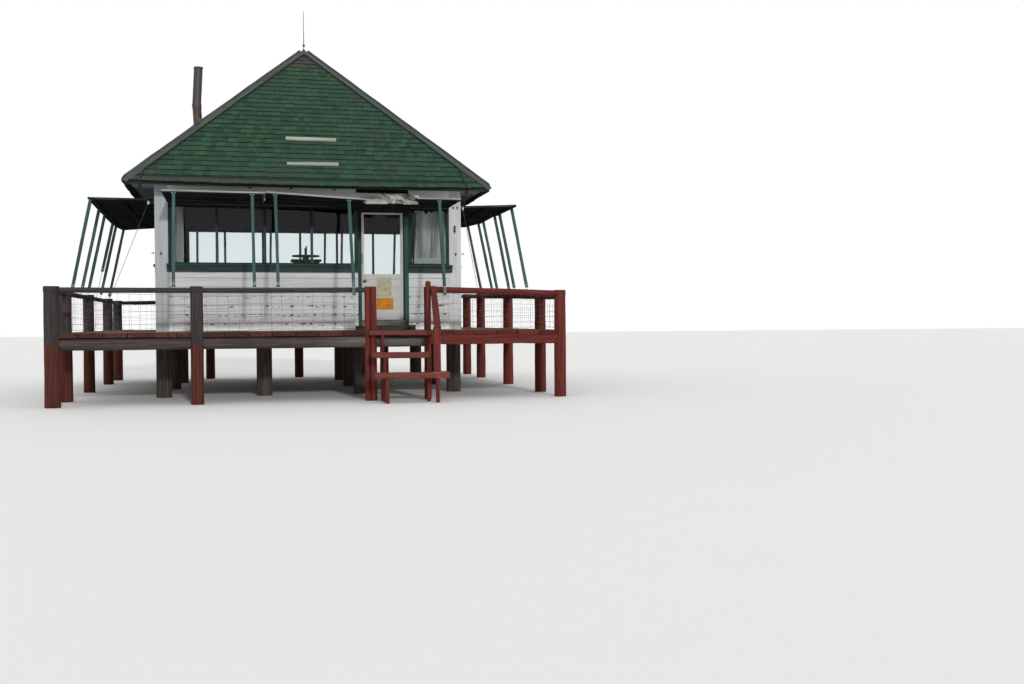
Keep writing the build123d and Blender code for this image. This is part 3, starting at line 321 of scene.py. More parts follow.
class Forms:
    """Gathers many small solids into one mesh. Each keeps its own grain direction and random shade."""

    moves = ()  # what each form goes through as it is added

    def __init__(self, seed):
        self.random = np.random.default_rng(seed)
        self.points, self.grain, self.form, self.shade, self.faces = [], [], [], [], []
        self.count = 0

    def add(self, points, faces, grain, form):
        points = np.asarray(points, float)
        for move in self.moves:
            points = move(points)
        self.points.append(points)
        self.grain.append(np.asarray(grain, float) + self.random.uniform(0, 60, 3))
        self.form.append(np.asarray(form, float))
        self.shade.append(np.full(len(points), self.random.uniform()))
        self.faces += [tuple(index + self.count for index in face) for face in faces]
        self.count += len(points)

    def sweep(self, centres, side, up, section):
        """Skin rings of section points, (rings, points, 2), set square to the centres' line."""
        centres = np.asarray(centres, float)
        rings, around = section.shape[:2]
        side, up = (np.broadcast_to(np.asarray(way, float), (rings, 3))[:, None] for way in (side, up))
        along = np.concatenate([[0], np.cumsum(np.linalg.norm(np.diff(centres, axis=0), axis=1))])
        points = centres[:, None] + section[..., :1] * side + section[..., 1:] * up
        grain = np.dstack([np.repeat(along[:, None], around, 1), section])
        reach = np.abs(section).max(axis=(0, 1))
        form = np.dstack([section / reach, np.repeat(along[:, None] / along[-1], around, 1)])
        last = (rings - 1) * around
        faces = [(i + j, i + (j + 1) % around, i + around + (j + 1) % around, i + around + j)
                 for i in range(0, last, around) for j in range(around)]
        faces += [tuple(range(around))[::-1], tuple(range(last, last + around))]
        self.add(points.reshape(-1, 3), faces, grain.reshape(-1, 3), form.reshape(-1, 3))

    def board(self, start, end, across, width, thick, chamfer=0.004, rings=7, wear=0.0015, twist=0.0):
        """A sawn board between two points, its width lying along across, with slightly worn edges."""
        start, end, side = (np.asarray(place, float) for place in (start, end, across))
        length = np.linalg.norm(end - start)
        run = (end - start) / length
        side = side - run * (side @ run)
        side = side / np.linalg.norm(side)
        up = np.cross(run, side)
        share = np.linspace(0, 1, rings)
        corner = min(chamfer, width / 3, thick / 3)
        w, t = width / 2, thick / 2
        base = np.array([(-w, -t + corner), (-w + corner, -t), (w - corner, -t), (w, -t + corner),
                         (w, t - corner), (w - corner, t), (-w + corner, t), (-w, t - corner)])
        section = np.repeat(base[None], rings, 0)
        for axis in (0, 1):
            for sign in (-1, 1):
                section[:, np.sign(base[:, axis]) == sign, axis] += ripple(share * length, self.random, wear)[:, None]
        angle = ((share - 0.5) * twist)[:, None]
        self.sweep(start + share[:, None] * (end - start), side * np.cos(angle) + up * np.sin(angle),
                   up * np.cos(angle) - side * np.sin(angle), section)

    def block(self, low, high, length=0, **facts):
        """A board that fills a box, its length along one axis of the cabin."""
        low, high = np.array(low, float), np.array(high, float)
        start, end = (low + high) / 2, (low + high) / 2
        start[length], end[length] = low[length], high[length]
        wide = 0 if length == 2 else 2
        size = high - low
        self.board(start, end, np.eye(3)[wide], size[wide], size[3 - length - wide], **facts)

    def log(self, start, end, foot, top, sides=20, rings=14, lump=0.03, bend=0.0, cap=0.0):
        """A peeled log between two points, slightly uneven, with softened ends and a proud band at its top."""
        start, end = np.asarray(start, float), np.asarray(end, float)
        length = np.linalg.norm(end - start)
        side, up = square_to((end - start) / length)
        ease = min(0.012 / length, 0.1)
        neck = 1 - 0.08 / length
        share = np.concatenate([[0], np.linspace(ease, 1 - ease, rings), [1]])
        if cap:
            share = np.sort(np.concatenate([share, [neck - 0.002, neck + 0.002]]))
        centres = start + share[:, None] * (end - start)
        if bend:
            sway = np.sin(share * pi)[:, None] * bend
            centres = centres + up * sway * self.random.uniform(-1, 1) + side * sway * self.random.uniform(-1, 1)
        angle = np.linspace(0, 2 * pi, sides, endpoint=False)
        radius = np.repeat((foot + (top - foot) * share)[:, None], sides, 1)
        for turn in (2, 3, 5):
            phase = self.random.uniform(0, 2 * pi) + ripple(share * length, self.random, 1.2)
            radius *= 1 + lump / turn * np.cos(turn * angle[None] + phase[:, None])
        radius *= (1 + ripple(share * length, self.random, lump * 0.8))[:, None]
        radius += cap * (share > neck)[:, None]
        radius[[0, -1]] *= 0.93
        self.sweep(centres, side, up, radius[..., None] * circle(sides))

    def wire(self, points, radius, sides=5):
        """A thin round bar along a line of points."""
        points = np.asarray(points, float)
        ahead = np.gradient(points, axis=0)
        ahead /= np.linalg.norm(ahead, axis=1)[:, None]
        side = np.cross(ahead, np.eye(3)[np.argmin(np.abs(ahead).max(axis=0))])
        side /= np.linalg.norm(side, axis=1)[:, None]
        self.sweep(points, side, np.cross(side, ahead), np.repeat(circle(sides)[None] * radius, len(points), 0))

    def turned(self, centres, radii, sides=24):
        """An upright lathe-turned form: a radius at each point of its centre line."""
        self.sweep(centres, *square_to(np.array((0, 0, 1.0))),
                   np.maximum(radii, 1e-4)[:, None, None] * circle(sides))

    def make(self, name, material, slot, *replaces, body="cabin"):
        """Turn what was gathered into one piece that rides on a body."""
        mesh = bpy.data.meshes.new(name)
        mesh.from_pydata(np.concatenate(self.points).tolist(), [], self.faces)
        for label, kind, field, values in (("grain", "FLOAT_VECTOR", "vector", self.grain),
                                           ("form", "FLOAT_VECTOR", "vector", self.form),
                                           ("shade", "FLOAT", "value", self.shade)):
            data = mesh.attributes.new(label, kind, "POINT").data
            data.foreach_set(field, np.concatenate(values).astype(np.float32).ravel())
        settle(mesh, material, slot, *replaces, body=body)
        mesh.set_sharp_from_angle(angle=radians(38))


def settle(mesh, material, slot, *replaces, body="cabin"):
    """Make a mesh into a smooth piece of the object, on its body. Its slot is not used."""
    mesh.polygons.foreach_set("use_smooth", np.ones(len(mesh.polygons), bool))
    mesh.materials.append(material)
    piece = bpy.data.objects.new(mesh.name, mesh)
    bpy.context.scene.collection.objects.link(piece)
    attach(piece, body)
    if replaces:
        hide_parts(*replaces)
    return piece


def onto(quarter, *moves):
    """Send the forms that follow through some moves, and from the front to a side of the square cabin:
    1 right, 2 back, 3 left."""
    angle = quarter * pi / 2
    turn = np.array([[cos(angle), sin(angle), 0], [-sin(angle), cos(angle), 0], [0, 0, 1]])
    Forms.moves = moves + (lambda points: (points - (0, MIDDLE, 0)) @ turn + (0, MIDDLE, 0),) * (quarter > 0)


def between(levels, start, end, place):
    """A level that changes evenly from a line's start to its end."""
    return levels[0] + (levels[1] - levels[0]) * (place - start) / (end - start)


def dress(material, *nodes):
    """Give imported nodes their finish."""
    for node in nodes:
        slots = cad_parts[node].data.materials
        slots.clear()
        slots.append(material)


# Colours as they show in the photograph
BARN_RED, DEEP_RED, PALE_RED = (106, 46, 40), (78, 32, 27), (130, 74, 64)
WORN_TAN = (122, 96, 78)
WHITE, OFF_WHITE, DIRTY = (196, 198, 198), (182, 184, 184), (176, 176, 175)
CHIPPED = (74, 68, 64)
GREEN, DEEP_GREEN = (42, 64, 60), (27, 43, 40)
# near-black painted shade, for shaded undersides and for the window and door heads under the shutters
UNDER_SHADE = (9, 10, 10)
# near-black painted shade for the inner faces of the walls, standing in for the shade inside the cabin
INSIDE_SHADE = ((19, 21, 25), (14, 16, 18))
RAW = ((84, 76, 70), (52, 46, 42), (108, 98, 88), 0.3)

red_wood = wood("barn_red_wood", BARN_RED, DEEP_RED, PALE_RED, 0.25)
rail_wood = wood("brown_rail_wood", (60, 55, 56), (44, 41, 42), (92, 82, 80), 0.2)
tread_wood = wood("tread_wood", (124, 66, 58), (98, 48, 42), (158, 106, 94), 0.35)
left_post_wood = wood("post_wood_left", (67, 58, 59), (48, 42, 43), WORN_TAN, 0.2,
                      over=((beyond("Z", 0.93, 0.84), ((92, 46, 38), (66, 33, 27))),))
beam_wood = wood("beam_wood_left", (80, 70, 68), (56, 48, 48), (104, 93, 88), 0.25,
                 over=((beyond("X", -0.4, 1.0, 0.5), ((116, 107, 102), (88, 78, 74))),))
plank_wood = wood("deck_plank_wood", (82, 47, 39), (48, 31, 27), WORN_TAN, 0.34, edge_wear=1.2, shades=0.45,
                  over=((overlap(beyond("X", 1.64, 1.7, 0.02), facing("Y", -1)), (BARN_RED, DEEP_RED)),
                        (facing("Z", 1), ((122, 92, 80), (84, 58, 50)))))
white_wood = wood("white_siding", WHITE, OFF_WHITE, (140, 137, 131), 0.08, streak=18.0, shades=0.1, edge_wear=0.5,
                  over=((beyond("Z", LAP_START + 0.15, LAP_START + 0.12, 0.04), (DIRTY, (190, 190, 189))),
                        (beyond("Z", LAP_START + 0.012, LAP_START - 0.004, 0.01), ((236, 237, 236), (220, 221, 220))),
                        # painted shadow: a dark line just under the butt of each lap board
                        (laps(0.955), ((98, 93, 92), (78, 73, 72))),
                        (overlap(beyond("Z", DECK_TOP + 0.75, DECK_TOP + 0.35, 0.1), laps(0.6),
                                 chips(13, 0.56, (1, 1, 1.6))), (CHIPPED, (52, 46, 44))),
                        (overlap(beyond("Z", DECK_TOP + 0.35, DECK_TOP + 0.1, 0.1), chips(16, 0.62, (1, 1, 2.5))),
                         (CHIPPED, (110, 106, 102)))))
# inside the walls the trim takes the near-black painted shade of the inside
trim_white = wood("white_trim", WHITE, (178, 181, 182), (140, 140, 136), 0.06, place="upright", streak=12.0,
                  over=((beyond("X", -2.0, -2.2, 0), ((168, 173, 175), (156, 161, 163))), (indoors, INSIDE_SHADE)))
# right of x 1.55 the frieze boards are lighter as painted light where the broken shutter leaves them in the sun; their
# inner faces take the near-black painted shade of the inside
head_white = wood("wall_head_boards", (232, 234, 233), (212, 215, 214), (150, 150, 146), 0.12, place="object",
                  over=((beyond("X", 1.52, 1.58, 0), ((240, 241, 240), (228, 230, 228))), (indoors, INSIDE_SHADE)))
# grey as a painted highlight where the window heads' edge catches light
head_highlight_wood = wood("window_head_highlight_strip", (84, 84, 82), (40, 42, 42), (20, 20, 20))
green_wood = wood("green_trim_wood", (44, 65, 61), GREEN, (84, 94, 88), 0.12)
sill_wood = wood("sill_worn_wood", (66, 72, 68), (44, 56, 52), (104, 102, 94), 0.4)
# the top of the frames, under the shutters, is near-black as painted shade
dark_green_wood = wood("dark_green_wood", GREEN, DEEP_GREEN, (62, 78, 74), 0.1,
                       over=((beyond("Z", WINDOW_HEAD - 0.09, WINDOW_HEAD - 0.05, 0), ((22, 26, 27), UNDER_SHADE)),))
# the mullions' upper parts are darker as painted shadow of the shutters above
mullion_wood = wood("mullion_teal_wood", (52, 82, 80), (38, 60, 59), (84, 104, 100), 0.12,
                    over=((beyond("Z", WINDOW_HEAD - 0.42, WINDOW_HEAD - 0.3, 0), ((26, 34, 36), (18, 23, 25))),))
# painted shade: the left jamb is blue-black above about 2.5 m, and the jambs are red-black above about 2.9 m as painted
# shadow of the broken shutter
jamb_wood = wood("jamb_teal_wood", (52, 88, 80), (36, 62, 57), (88, 108, 100), 0.12,
                 over=((overlap(beyond("X", 1.2, 1.0, 0), beyond("Z", 2.45, 2.6, 0)), ((34, 40, 46), UNDER_SHADE)),
                       (beyond("Z", 2.86, 2.96, 0), ((40, 25, 24), (26, 18, 18)))))
threshold_wood = wood("threshold_wood", (116, 112, 102), (66, 68, 60), (138, 126, 110), 0.4)
strut_wood = wood("strut_teal_wood", (66, 93, 93), (48, 71, 71), (108, 126, 122), 0.16, shades=0.25,
                  over=((overlap(beyond("Z", 1.86, 1.74, 0.1), chips(26, 0.5, (1, 1, 0.6))),
                         ((128, 138, 132), (92, 104, 100))),))
shutter_wood = wood("shutter_wood", (41, 45, 48), (31, 34, 37), specular=0,
                    over=((facing("Z", 1), ((142, 142, 136), (98, 97, 92))),))
edge_wood = wood("shutter_edge_wood", (170, 172, 168), (138, 139, 135), (78, 76, 70), 0.4,
                 over=((chips(22, 0.62, (0.5, 1, 1)), (CHIPPED, DIRTY)),))
# the loose boards' downward faces are near-black as painted shade
loose_wood = wood("loose_board_wood", (176, 174, 166), (128, 126, 119), (72, 68, 63),
                  over=((facing("Z", -1), ((34, 22, 21), UNDER_SHADE)), (chips(15, 0.6), (CHIPPED, (66, 60, 56)))))
# dark red-brown: partly real wood behind a missing frieze board, partly painted shade in the strips under the frieze
# and over the door
gap_and_shade_wood = wood("red_brown_board_and_shade", (40, 24, 23), (24, 18, 18))
hip_wood = wood("hip_board_wood", (88, 93, 88), (62, 68, 64), (50, 64, 56))
# the side boards are darker blue-grey than the front ones as painted shade
hip_side_shade_wood = wood("hip_side_board_shade_wood", (64, 74, 76), (44, 52, 54), (84, 92, 92), 0.25)
cleat_wood = wood("cleat_wood", (168, 173, 162), (136, 141, 131), (98, 104, 93), 0.2)
raw_wood = wood("raw_timber", *RAW, place="object")
raw_post_wood = wood("raw_post_timber", *RAW, place="upright")
step_wood = wood("step_plank_wood", (66, 64, 56), (36, 38, 34), (112, 100, 82))
# near-black painted shade for the ceiling, the finder's stand and the stick inside the windows
inside_shade_wood = wood("inside_boards_shade", (34, 34, 36), (25, 25, 27), place="object")
floor_wood = wood("floor_boards", (88, 64, 46), (58, 42, 32), place="object")
slab_wood = wood("roof_boards", (45, 50, 48), (34, 38, 37), place="object")
soffit_wood = wood("soffit_boards_wood", (150, 154, 162), (124, 127, 134), place="object")
door_wood = wood("door_white", (192, 192, 187), (178, 178, 173), (140, 136, 126), 0.08, streak=14.0,
                 shades=0.06, over=((beyond("Z", FLOOR_TOP + 0.14, FLOOR_TOP, 0.1), ((150, 146, 138), DIRTY)),))
shingle_green = roof_look()
pipe_metal = metal("pipe_rust", (66, 63, 65), (96, 66, 56), below=4.75)
flash_metal = metal("flashing_metal", (70, 78, 74), (84, 66, 56), 0.35)
rod_metal = metal("rod_metal", (66, 70, 74), (50, 48, 48))
cable_metal = metal("cable_dark", (18, 24, 21), (34, 32, 29), 0.3, 0.8, 0.0)
wire_metal = metal("mesh_wire", (96, 94, 94), (70, 60, 56), 0.5)
bright_metal = metal("bright_fittings", (190, 192, 190), (120, 118, 112), 0.25, 0.4, 0.5)
dark_metal = metal("dark_enamel", (40, 42, 46), (30, 30, 32))
knob_metal = metal("knob_brass", (92, 86, 78), (50, 46, 42), 0.4, 0.4)
pane = Look("window_glass", 0.03, Transmission_Weight=1.0, IOR=1.24, Base_Color=(0.84, 0.88, 0.89, 1)).material
cotton = soft_look("curtain_cotton", (182, 183, 179), (122, 123, 121), 1.0, 900, (9, 9, 1.0))
cream_paper = soft_look("cream_sheet", (174, 173, 146), (152, 152, 128), 14.0, 30)
orange_paper = soft_look("orange_sheet", (200, 132, 18), (168, 104, 26), 14.0, 30)


def view():
    """The camera where the photographer stood."""
    yaw, pitch, roll = (radians(angle) for angle in (13.423, -1.101, -0.369))
    stand = (-0.936, -19.733, 1.180)
    focal, width = 1079.293, 1024  # in the photograph's pixels
    data = bpy.data.cameras.new("camera")
    data.lens = focal / width * data.sensor_width
    data.clip_end = 500
    camera = bpy.data.objects.new("camera", data)
    camera.matrix_world = (Matrix.Translation(stand) @ Matrix.Rotation(-yaw, 4, "Z")
                           @ Matrix.Rotation(pi / 2 + pitch, 4, "X") @ Matrix.Rotation(roll, 4, "Z"))
    bpy.context.scene.collection.objects.link(camera)
    bpy.context.scene.camera = camera


def floor_and_light():
    """A pale floor, a white surround and a soft light from the front right."""
    reach = 90
    sunlight = Vector((-0.114, 1, -0.33))
    mesh = bpy.data.meshes.new("floor")
    mesh.from_pydata([(x * reach, y * reach, 0) for x, y in ((-1, -1), (1, -1), (1, 1), (-1, 1))], [], [(0, 1, 2, 3)])
    mesh.materials.append(Look("floor_pale", 0.9, Base_Color=(0.8, 0.8, 0.79, 1)).material)
    floor = bpy.data.objects.new("floor", mesh)
    bpy.context.scene.collection.objects.link(floor)
    world = bpy.data.worlds.new("surround")
    world.use_nodes = True
    bpy.context.scene.world = world
    tree = world.node_tree
    path = add_node(tree, "LightPath", {})
    seen = path["Is Camera Ray"]
    for ray in ("Is Glossy Ray", "Is Transmission Ray"):
        seen = add_node(tree, "Math", {0: seen, 1: path[ray]}, operation="MAXIMUM")[0]
    level = add_node(tree, "MapRange", {"Value": seen, "To Min": 0.85, "To Max": 1.0})["Result"]
    back = tree.nodes["Background"].inputs
    back["Color"].default_value = (1, 1, 1, 1)
    tree.links.new(level, back["Strength"])
    data = bpy.data.lights.new("sun", "SUN")
    data.energy = 1.45
    data.angle = radians(3.5)
    lamp = bpy.data.objects.new("sun", data)
    lamp.rotation_euler = sunlight.to_track_quat("-Z", "Y").to_euler()
    bpy.context.scene.collection.objects.link(lamp)
    bpy.context.scene.view_settings.view_transform = "Standard"


def roof_point(x, along, above):
    """A point on the front slope: across it, up it from the eave, and above its surface."""
    return np.array((x, MIDDLE - EAVE_HALF + along * cos(PITCH) - above * sin(PITCH),
                     EAVE_TOP + along * sin(PITCH) + above * cos(PITCH)))


def shingles():
    """Courses of wood shingles on the four slopes, each with its own width, lift and wear."""
    for quarter, label in enumerate(("front", "right", "back", "left")):
        onto(quarter)
        forms = Forms(40 + quarter)
        random = forms.random
        for i in range(-1, int(SLOPE_LENGTH / COURSE) + 1):
            low = max(i, 0) * COURSE
            high = min(low + COURSE * 1.2, SLOPE_LENGTH - 0.005)
            reach = EAVE_HALF - low * cos(PITCH)
            x = -reach + random.uniform(-0.1, 0)
            while x < reach:
                width = random.uniform(0.07, 0.15)
                sag = 0.03 + 0.05 * (1 - (x / reach) ** 2) - 0.012 * (i < 0) if i <= 0 else 0
                shingle(forms, x, x + width, low - sag, high, 0.012 * (i == 0))
                x += width + random.uniform(0.002, 0.004)
        forms.make("shingles_" + label, shingle_green, "roof_shingles")
        dress(slab_wood, "roof_" + label)
    onto(0)


def shingle(forms, x0, x1, low, high, lift):
    """One tapered shingle, trimmed along the hips. Its form runs from its butt to the next one up."""
    butt = low + forms.random.uniform(-0.007, 0.007)
    thick = lift + forms.random.uniform(0.012, 0.017)
    tilt = forms.random.uniform(-0.003, 0.003)
    corners = []
    for x, skew in ((x0, -tilt), (x1, tilt)):
        for along, top in ((butt + skew, thick), (high, 0.005)):
            limit = EAVE_HALF - max(along, 0) * cos(PITCH) - 0.004
            corners.append((max(-limit, min(limit, x)), along, top))
    if abs(corners[2][0] - corners[0][0]) < 0.012:
        return
    tops = [roof_point(*corner) for corner in corners]
    feet = [roof_point(x, along, 0.001) for x, along, top in corners]
    # the third part of form marks the butt, side and back faces, which roof_look darkens as painted shade
    form = [(0, max(0, (along - butt) / COURSE), 0) for x, along, top in corners] + [(0, 0, 1)] * 8
    faces = [(2, 3, 1, 0), (9, 11, 10, 8), (4, 8, 10, 6), (7, 11, 9, 5), (5, 9, 8, 4), (6, 10, 11, 7)]
    forms.add(tops + tops + feet, faces, corners * 3, form)


def hips_and_cleats():
    """Weathered board pairs over the hips, and two cleats on the front slope."""
    wide, narrow, cleats = Forms(50), Forms(52), Forms(51)
    normal = np.array((0, -sin(PITCH), cos(PITCH)))
    for quarter in range(4):
        onto(quarter)
        cap, width, thick, past = (wide, 0.118, 0.046, 0.02) if quarter % 2 else (narrow, 0.088, 0.022, 0.0)
        for side in (-1, 1):
            corner = roof_point(side * EAVE_HALF, 0, 0)
            along_hip = roof_point(0, SLOPE_LENGTH, 0) - corner
            length = np.linalg.norm(along_hip)
            along_hip /= length
            inward = np.cross(normal, along_hip)
            inward *= -side * np.sign(inward[0])  # away from the hip, onto the slope
            start = corner + inward * (width / 2 - past) + normal * (0.006 + thick / 2)
            joints = (0.05 / length, 0.36, 0.7, 0.982) if quarter % 2 else (-0.04 / length, 0.36, 0.7, 0.99)
            for a, b in zip(joints, joints[1:]):
                cap.board(start + along_hip * a * length, start + along_hip * (b * length - 0.004), inward, width,
                          thick, rings=9, wear=0.003)
    onto(0)
    narrow.make("hip_boards", hip_wood, "grey_boards", "hip_caps")
    wide.make("hip_side_boards", hip_side_shade_wood, "grey_boards")
    low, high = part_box("roof_cleats")
    for z in (low.z + 0.014, high.z - 0.07):
        y = MIDDLE - (APEX - z) / tan(PITCH) - 0.014
        cleats.board((low.x + 0.02, y, z), (high.x, y, z + 0.004), (0, cos(PITCH), sin(PITCH)), 0.075, 0.038, **WORN)
    cleats.make("roof_cleat_boards", cleat_wood, "grey_boards", "roof_cleats")


def deck():
    """Worn planks round the cabin, running out from each wall."""
    front, back, sides = Forms(60), Forms(61), Forms(62)
    gap, out, facts = 0.01, 0.05, dict(chamfer=0.008, rings=12, wear=0.004)

    def planks(low, high):
        count = round((high - low) / PLANK)
        pitch = (high - low) / count
        starts = [low + i * pitch + gap / 2 for i in range(count)]
        return [(start, start + pitch - gap) for start in starts]

    for x0, x1 in planks(-EDGE_X, EDGE_X):
        drop = front.random.uniform(0, 0.004)
        reach = out if 0.5 < x0 < 1.7 else out - front.random.uniform(0, 0.022)
        front.block((x0, POST_Y - reach, BEAM_TOP), (x1, FRONT - 0.008, DECK_TOP - drop), 1, **facts)
        end = BACK_POST_Y + out - back.random.uniform(0, 0.02)
        back.block((x0, BACK + 0.008, BEAM_TOP), (x1, end, DECK_TOP), 1, **facts)
    for side in (-1, 1):
        for y0, y1 in planks(FRONT, BACK):
            end = EDGE_X + out - sides.random.uniform(0, 0.02)
            x0, x1 = sorted((side * (HALF + 0.008), side * end))
            sides.block((x0, y0, BEAM_TOP), (x1, y1, DECK_TOP), 0, **facts)
    front.make("front_deck_planks", plank_wood, "deck_planks", "front_deck")
    back.make("back_deck_planks", plank_wood, "deck_planks", "back_deck")
    sides.make("side_deck_planks", plank_wood, "deck_planks", "side_decks")


def posts_and_rails():
    """Log posts, rim beams and rails: stained brown at the left, barn red at the right."""
    left, right, beams, rails, red = (Forms(seed) for seed in (70, 71, 72, 74, 73))
    left.log((-EDGE_X, POST_Y, 0), (-EDGE_X, POST_Y, RAIL_LEVEL + OVER_RAIL), 0.108, 0.103, 24, 14, 0.02, cap=0.006)
    places = [(-1.745, POST_Y, RAIL_LEVEL), (EDGE_X + 0.015, POST_Y, DECK_TOP + RED_LEVELS[1])]
    for x, levels in ((-EDGE_X, LEFT_LEVELS), (EDGE_X, RIGHT_LEVELS)):
        for y in (FRONT - 0.35, FRONT + 2.0, FRONT + 4.5, BACK_POST_Y):
            places.append((x, y, DECK_TOP + between(levels, POST_Y, BACK_POST_Y, y)))
    for x in (-1.85, 0, 1.85):
        places.append((x, BACK_POST_Y, DECK_TOP + between((0.56, 0.695), -EDGE_X, EDGE_X, x)))
    for x, y, level in places:
        forms = right if x > 2 else left
        forms.log((x, y, 0), (x, y, level + OVER_RAIL), 0.095, 0.089, 22, 14, 0.022, cap=0.005)
    left.make("log_posts_left", left_post_wood, "post_stain", "deck_posts")
    right.make("log_posts_right", red_wood, "barn_red")

    low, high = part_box("front_beam_right")
    beam_z, log_z = BEAM_TOP - 0.09, BEAM_TOP - BEAM_RADIUS
    left_front, left_back = (-EDGE_X, POST_Y), (-EDGE_X, BACK_POST_Y)
    right_front, right_back, red_start = (EDGE_X, POST_Y), (EDGE_X, BACK_POST_Y), (low.x, POST_Y)
    split = 0.66
    beams.log((-EDGE_X, POST_Y + 0.052, beam_z), (split + 0.024, POST_Y + 0.052, beam_z), 0.089, 0.087, 20, 24)
    beams.log((split, POST_Y + 0.092, beam_z), (low.x, POST_Y + 0.092, beam_z), 0.085, 0.084, 20, 12)
    red.block((low.x, low.y, low.z), (EDGE_X, high.y, high.z), 0, chamfer=0.012, rings=14, wear=0.006)
    for forms, start, end in ((beams, left_front, left_back), (beams, left_back, right_back),
                              (red, right_front, right_back)):
        forms.log((*start, log_z), (*end, log_z), BEAM_RADIUS, 0.06, 16, 20)
    rails.log((*left_front, RAIL_LEVEL), (0.718, POST_Y, RAIL_LEVEL), 0.039, 0.037, 14, 30, bend=0.01)
    for forms, start, end, levels, radius, taper, sides, rings in (
            (rails, left_front, left_back, LEFT_LEVELS, 0.038, 0.001, 14, 30),
            (rails, left_back, right_back, (LEFT_LEVELS[1], RIGHT_LEVELS[1]), 0.038, 0, 14, 30),
            (red, red_start, right_front, RED_LEVELS, RED_RADIUS, 0.002, 16, 24),
            (red, right_front, right_back, RIGHT_LEVELS, RED_RADIUS, 0.003, 16, 24)):
        forms.log((*start, DECK_TOP + levels[0]), (*end, DECK_TOP + levels[1]), radius, radius - taper, sides, rings,
                  bend=0.01)
    beams.make("rim_logs", beam_wood, "brown_stain", "front_beam_left", "outer_beams")
    rails.make("brown_rails", rail_wood, "brown_stain", "front_rail_left", "outer_rails")
    red.make("red_beam_and_rails", red_wood, "barn_red", "front_beam_right", "front_rail_right")


def stair():
    """The stair's poles, treads, uprights, newel and handrail."""
    forms, steps = Forms(80), Forms(81)
    newel_x = 1.64
    for x, y, radius in ((0.718, POST_Y - 0.012, 0.042), (0.807, POST_Y, 0.05), (newel_x, POST_Y + 0.091, 0.05)):
        forms.log((x, y, 0), (x, y, RAIL_LEVEL + OVER_RAIL), radius, radius - 0.001, 16)
    dome, radius = DECK_TOP + 0.713, 0.042
    bend = (0.4, 0.8, 1.2, 1.5)
    heights = [0, dome / 2, dome] + [dome + radius * sin(a) for a in bend]
    forms.turned([(newel_x, POST_Y - 0.012, z) for z in heights],
                 [0.043, 0.041, radius] + [radius * cos(a) for a in bend], sides=18)
    nose = POST_Y - 0.05
    treads = ((0.73, 1.69, nose - 0.1, nose, DECK_TOP, 0.07, ()),
              (0.745, 1.616, nose - 0.395, nose - 0.1, DECK_TOP - 0.318, 0.085, (1.555,)),
              (0.746, 1.841, nose - 0.684, nose - 0.395, DECK_TOP - 0.608, 0.085, (newel_x,)))
    for x0, x1, y0, y1, z, thick, rights in treads:
        steps.block((x0, y0, z - thick), (x1, y1, z), 0, chamfer=0.012, rings=10, wear=0.006)
        for x in (0.905, *rights):
            forms.block((x, y0, 0), (x + 0.05, y0 + 0.06, z - thick), 2, chamfer=0.005, rings=5, wear=0.003)
    forms.block((1.615, y0 + 0.04, z), (1.715, y0 + 0.14, DECK_TOP + 0.06), 2, chamfer=0.01, rings=6, wear=0.004)
    forms.board((1.711, POST_Y - 0.06, DECK_TOP + 0.64), (1.677, y0 + 0.06, DECK_TOP + 0.02), ACROSS, 0.083, 0.09,
                0.008, 8, 0.003)
    steps.make("stair_tread_boards", tread_wood, "barn_red")
    forms.make("stair_woodwork", red_wood, "barn_red", "stair_posts", "stair_treads", "stair_frame", "stair_handrail")


def siding():
    """Lapped boards on the lower walls, between the corner boards."""
    bounds = [DECK_TOP + 0.004] + [LAP_START + k * LAP for k in range(6)] + [SILL_TOP - 0.13]
    forms = Forms(90)
    for quarter, x0, x1 in WALLS:
        onto(quarter)
        for z0, z1 in zip(bounds, bounds[1:]):
            cuts = [x0, x1]
            if x1 - x0 > 2.5:
                cuts.insert(1, x0 + (x1 - x0) * forms.random.uniform(0.25, 0.75))
            for a, b in zip(cuts, cuts[1:]):
                lap_board(forms, a + 0.001, b - 0.001, z0, min(z1 + 0.012, bounds[-1]))
    onto(0)
    forms.make("lap_siding", white_wood, "white_boards")


def lap_board(forms, x0, x1, z0, z1):
    """One clapboard: thick at its foot and thin under the next one."""
    rings = max(3, int((x1 - x0) / 0.25))
    share = np.linspace(0, 1, rings)
    foot = SIDING - 0.001 - forms.random.uniform(0, 0.002)
    base = np.array([(0, 0), (foot, 0), (foot, 0.003), (0.005, z1 - z0), (0, z1 - z0)])
    section = np.repeat(base[None], rings, 0)
    for axis, reach in ((1, 0.0015), (0, 0.001)):
        section[:, 1:3, axis] += ripple(share * (x1 - x0), forms.random, reach)[:, None]
    centres = np.stack([x0 + share * (x1 - x0), np.full(rings, FRONT + SIDING), np.full(rings, z0)], axis=1)
    forms.sweep(centres, (0, -1, 0), (0, 0, 1), section)


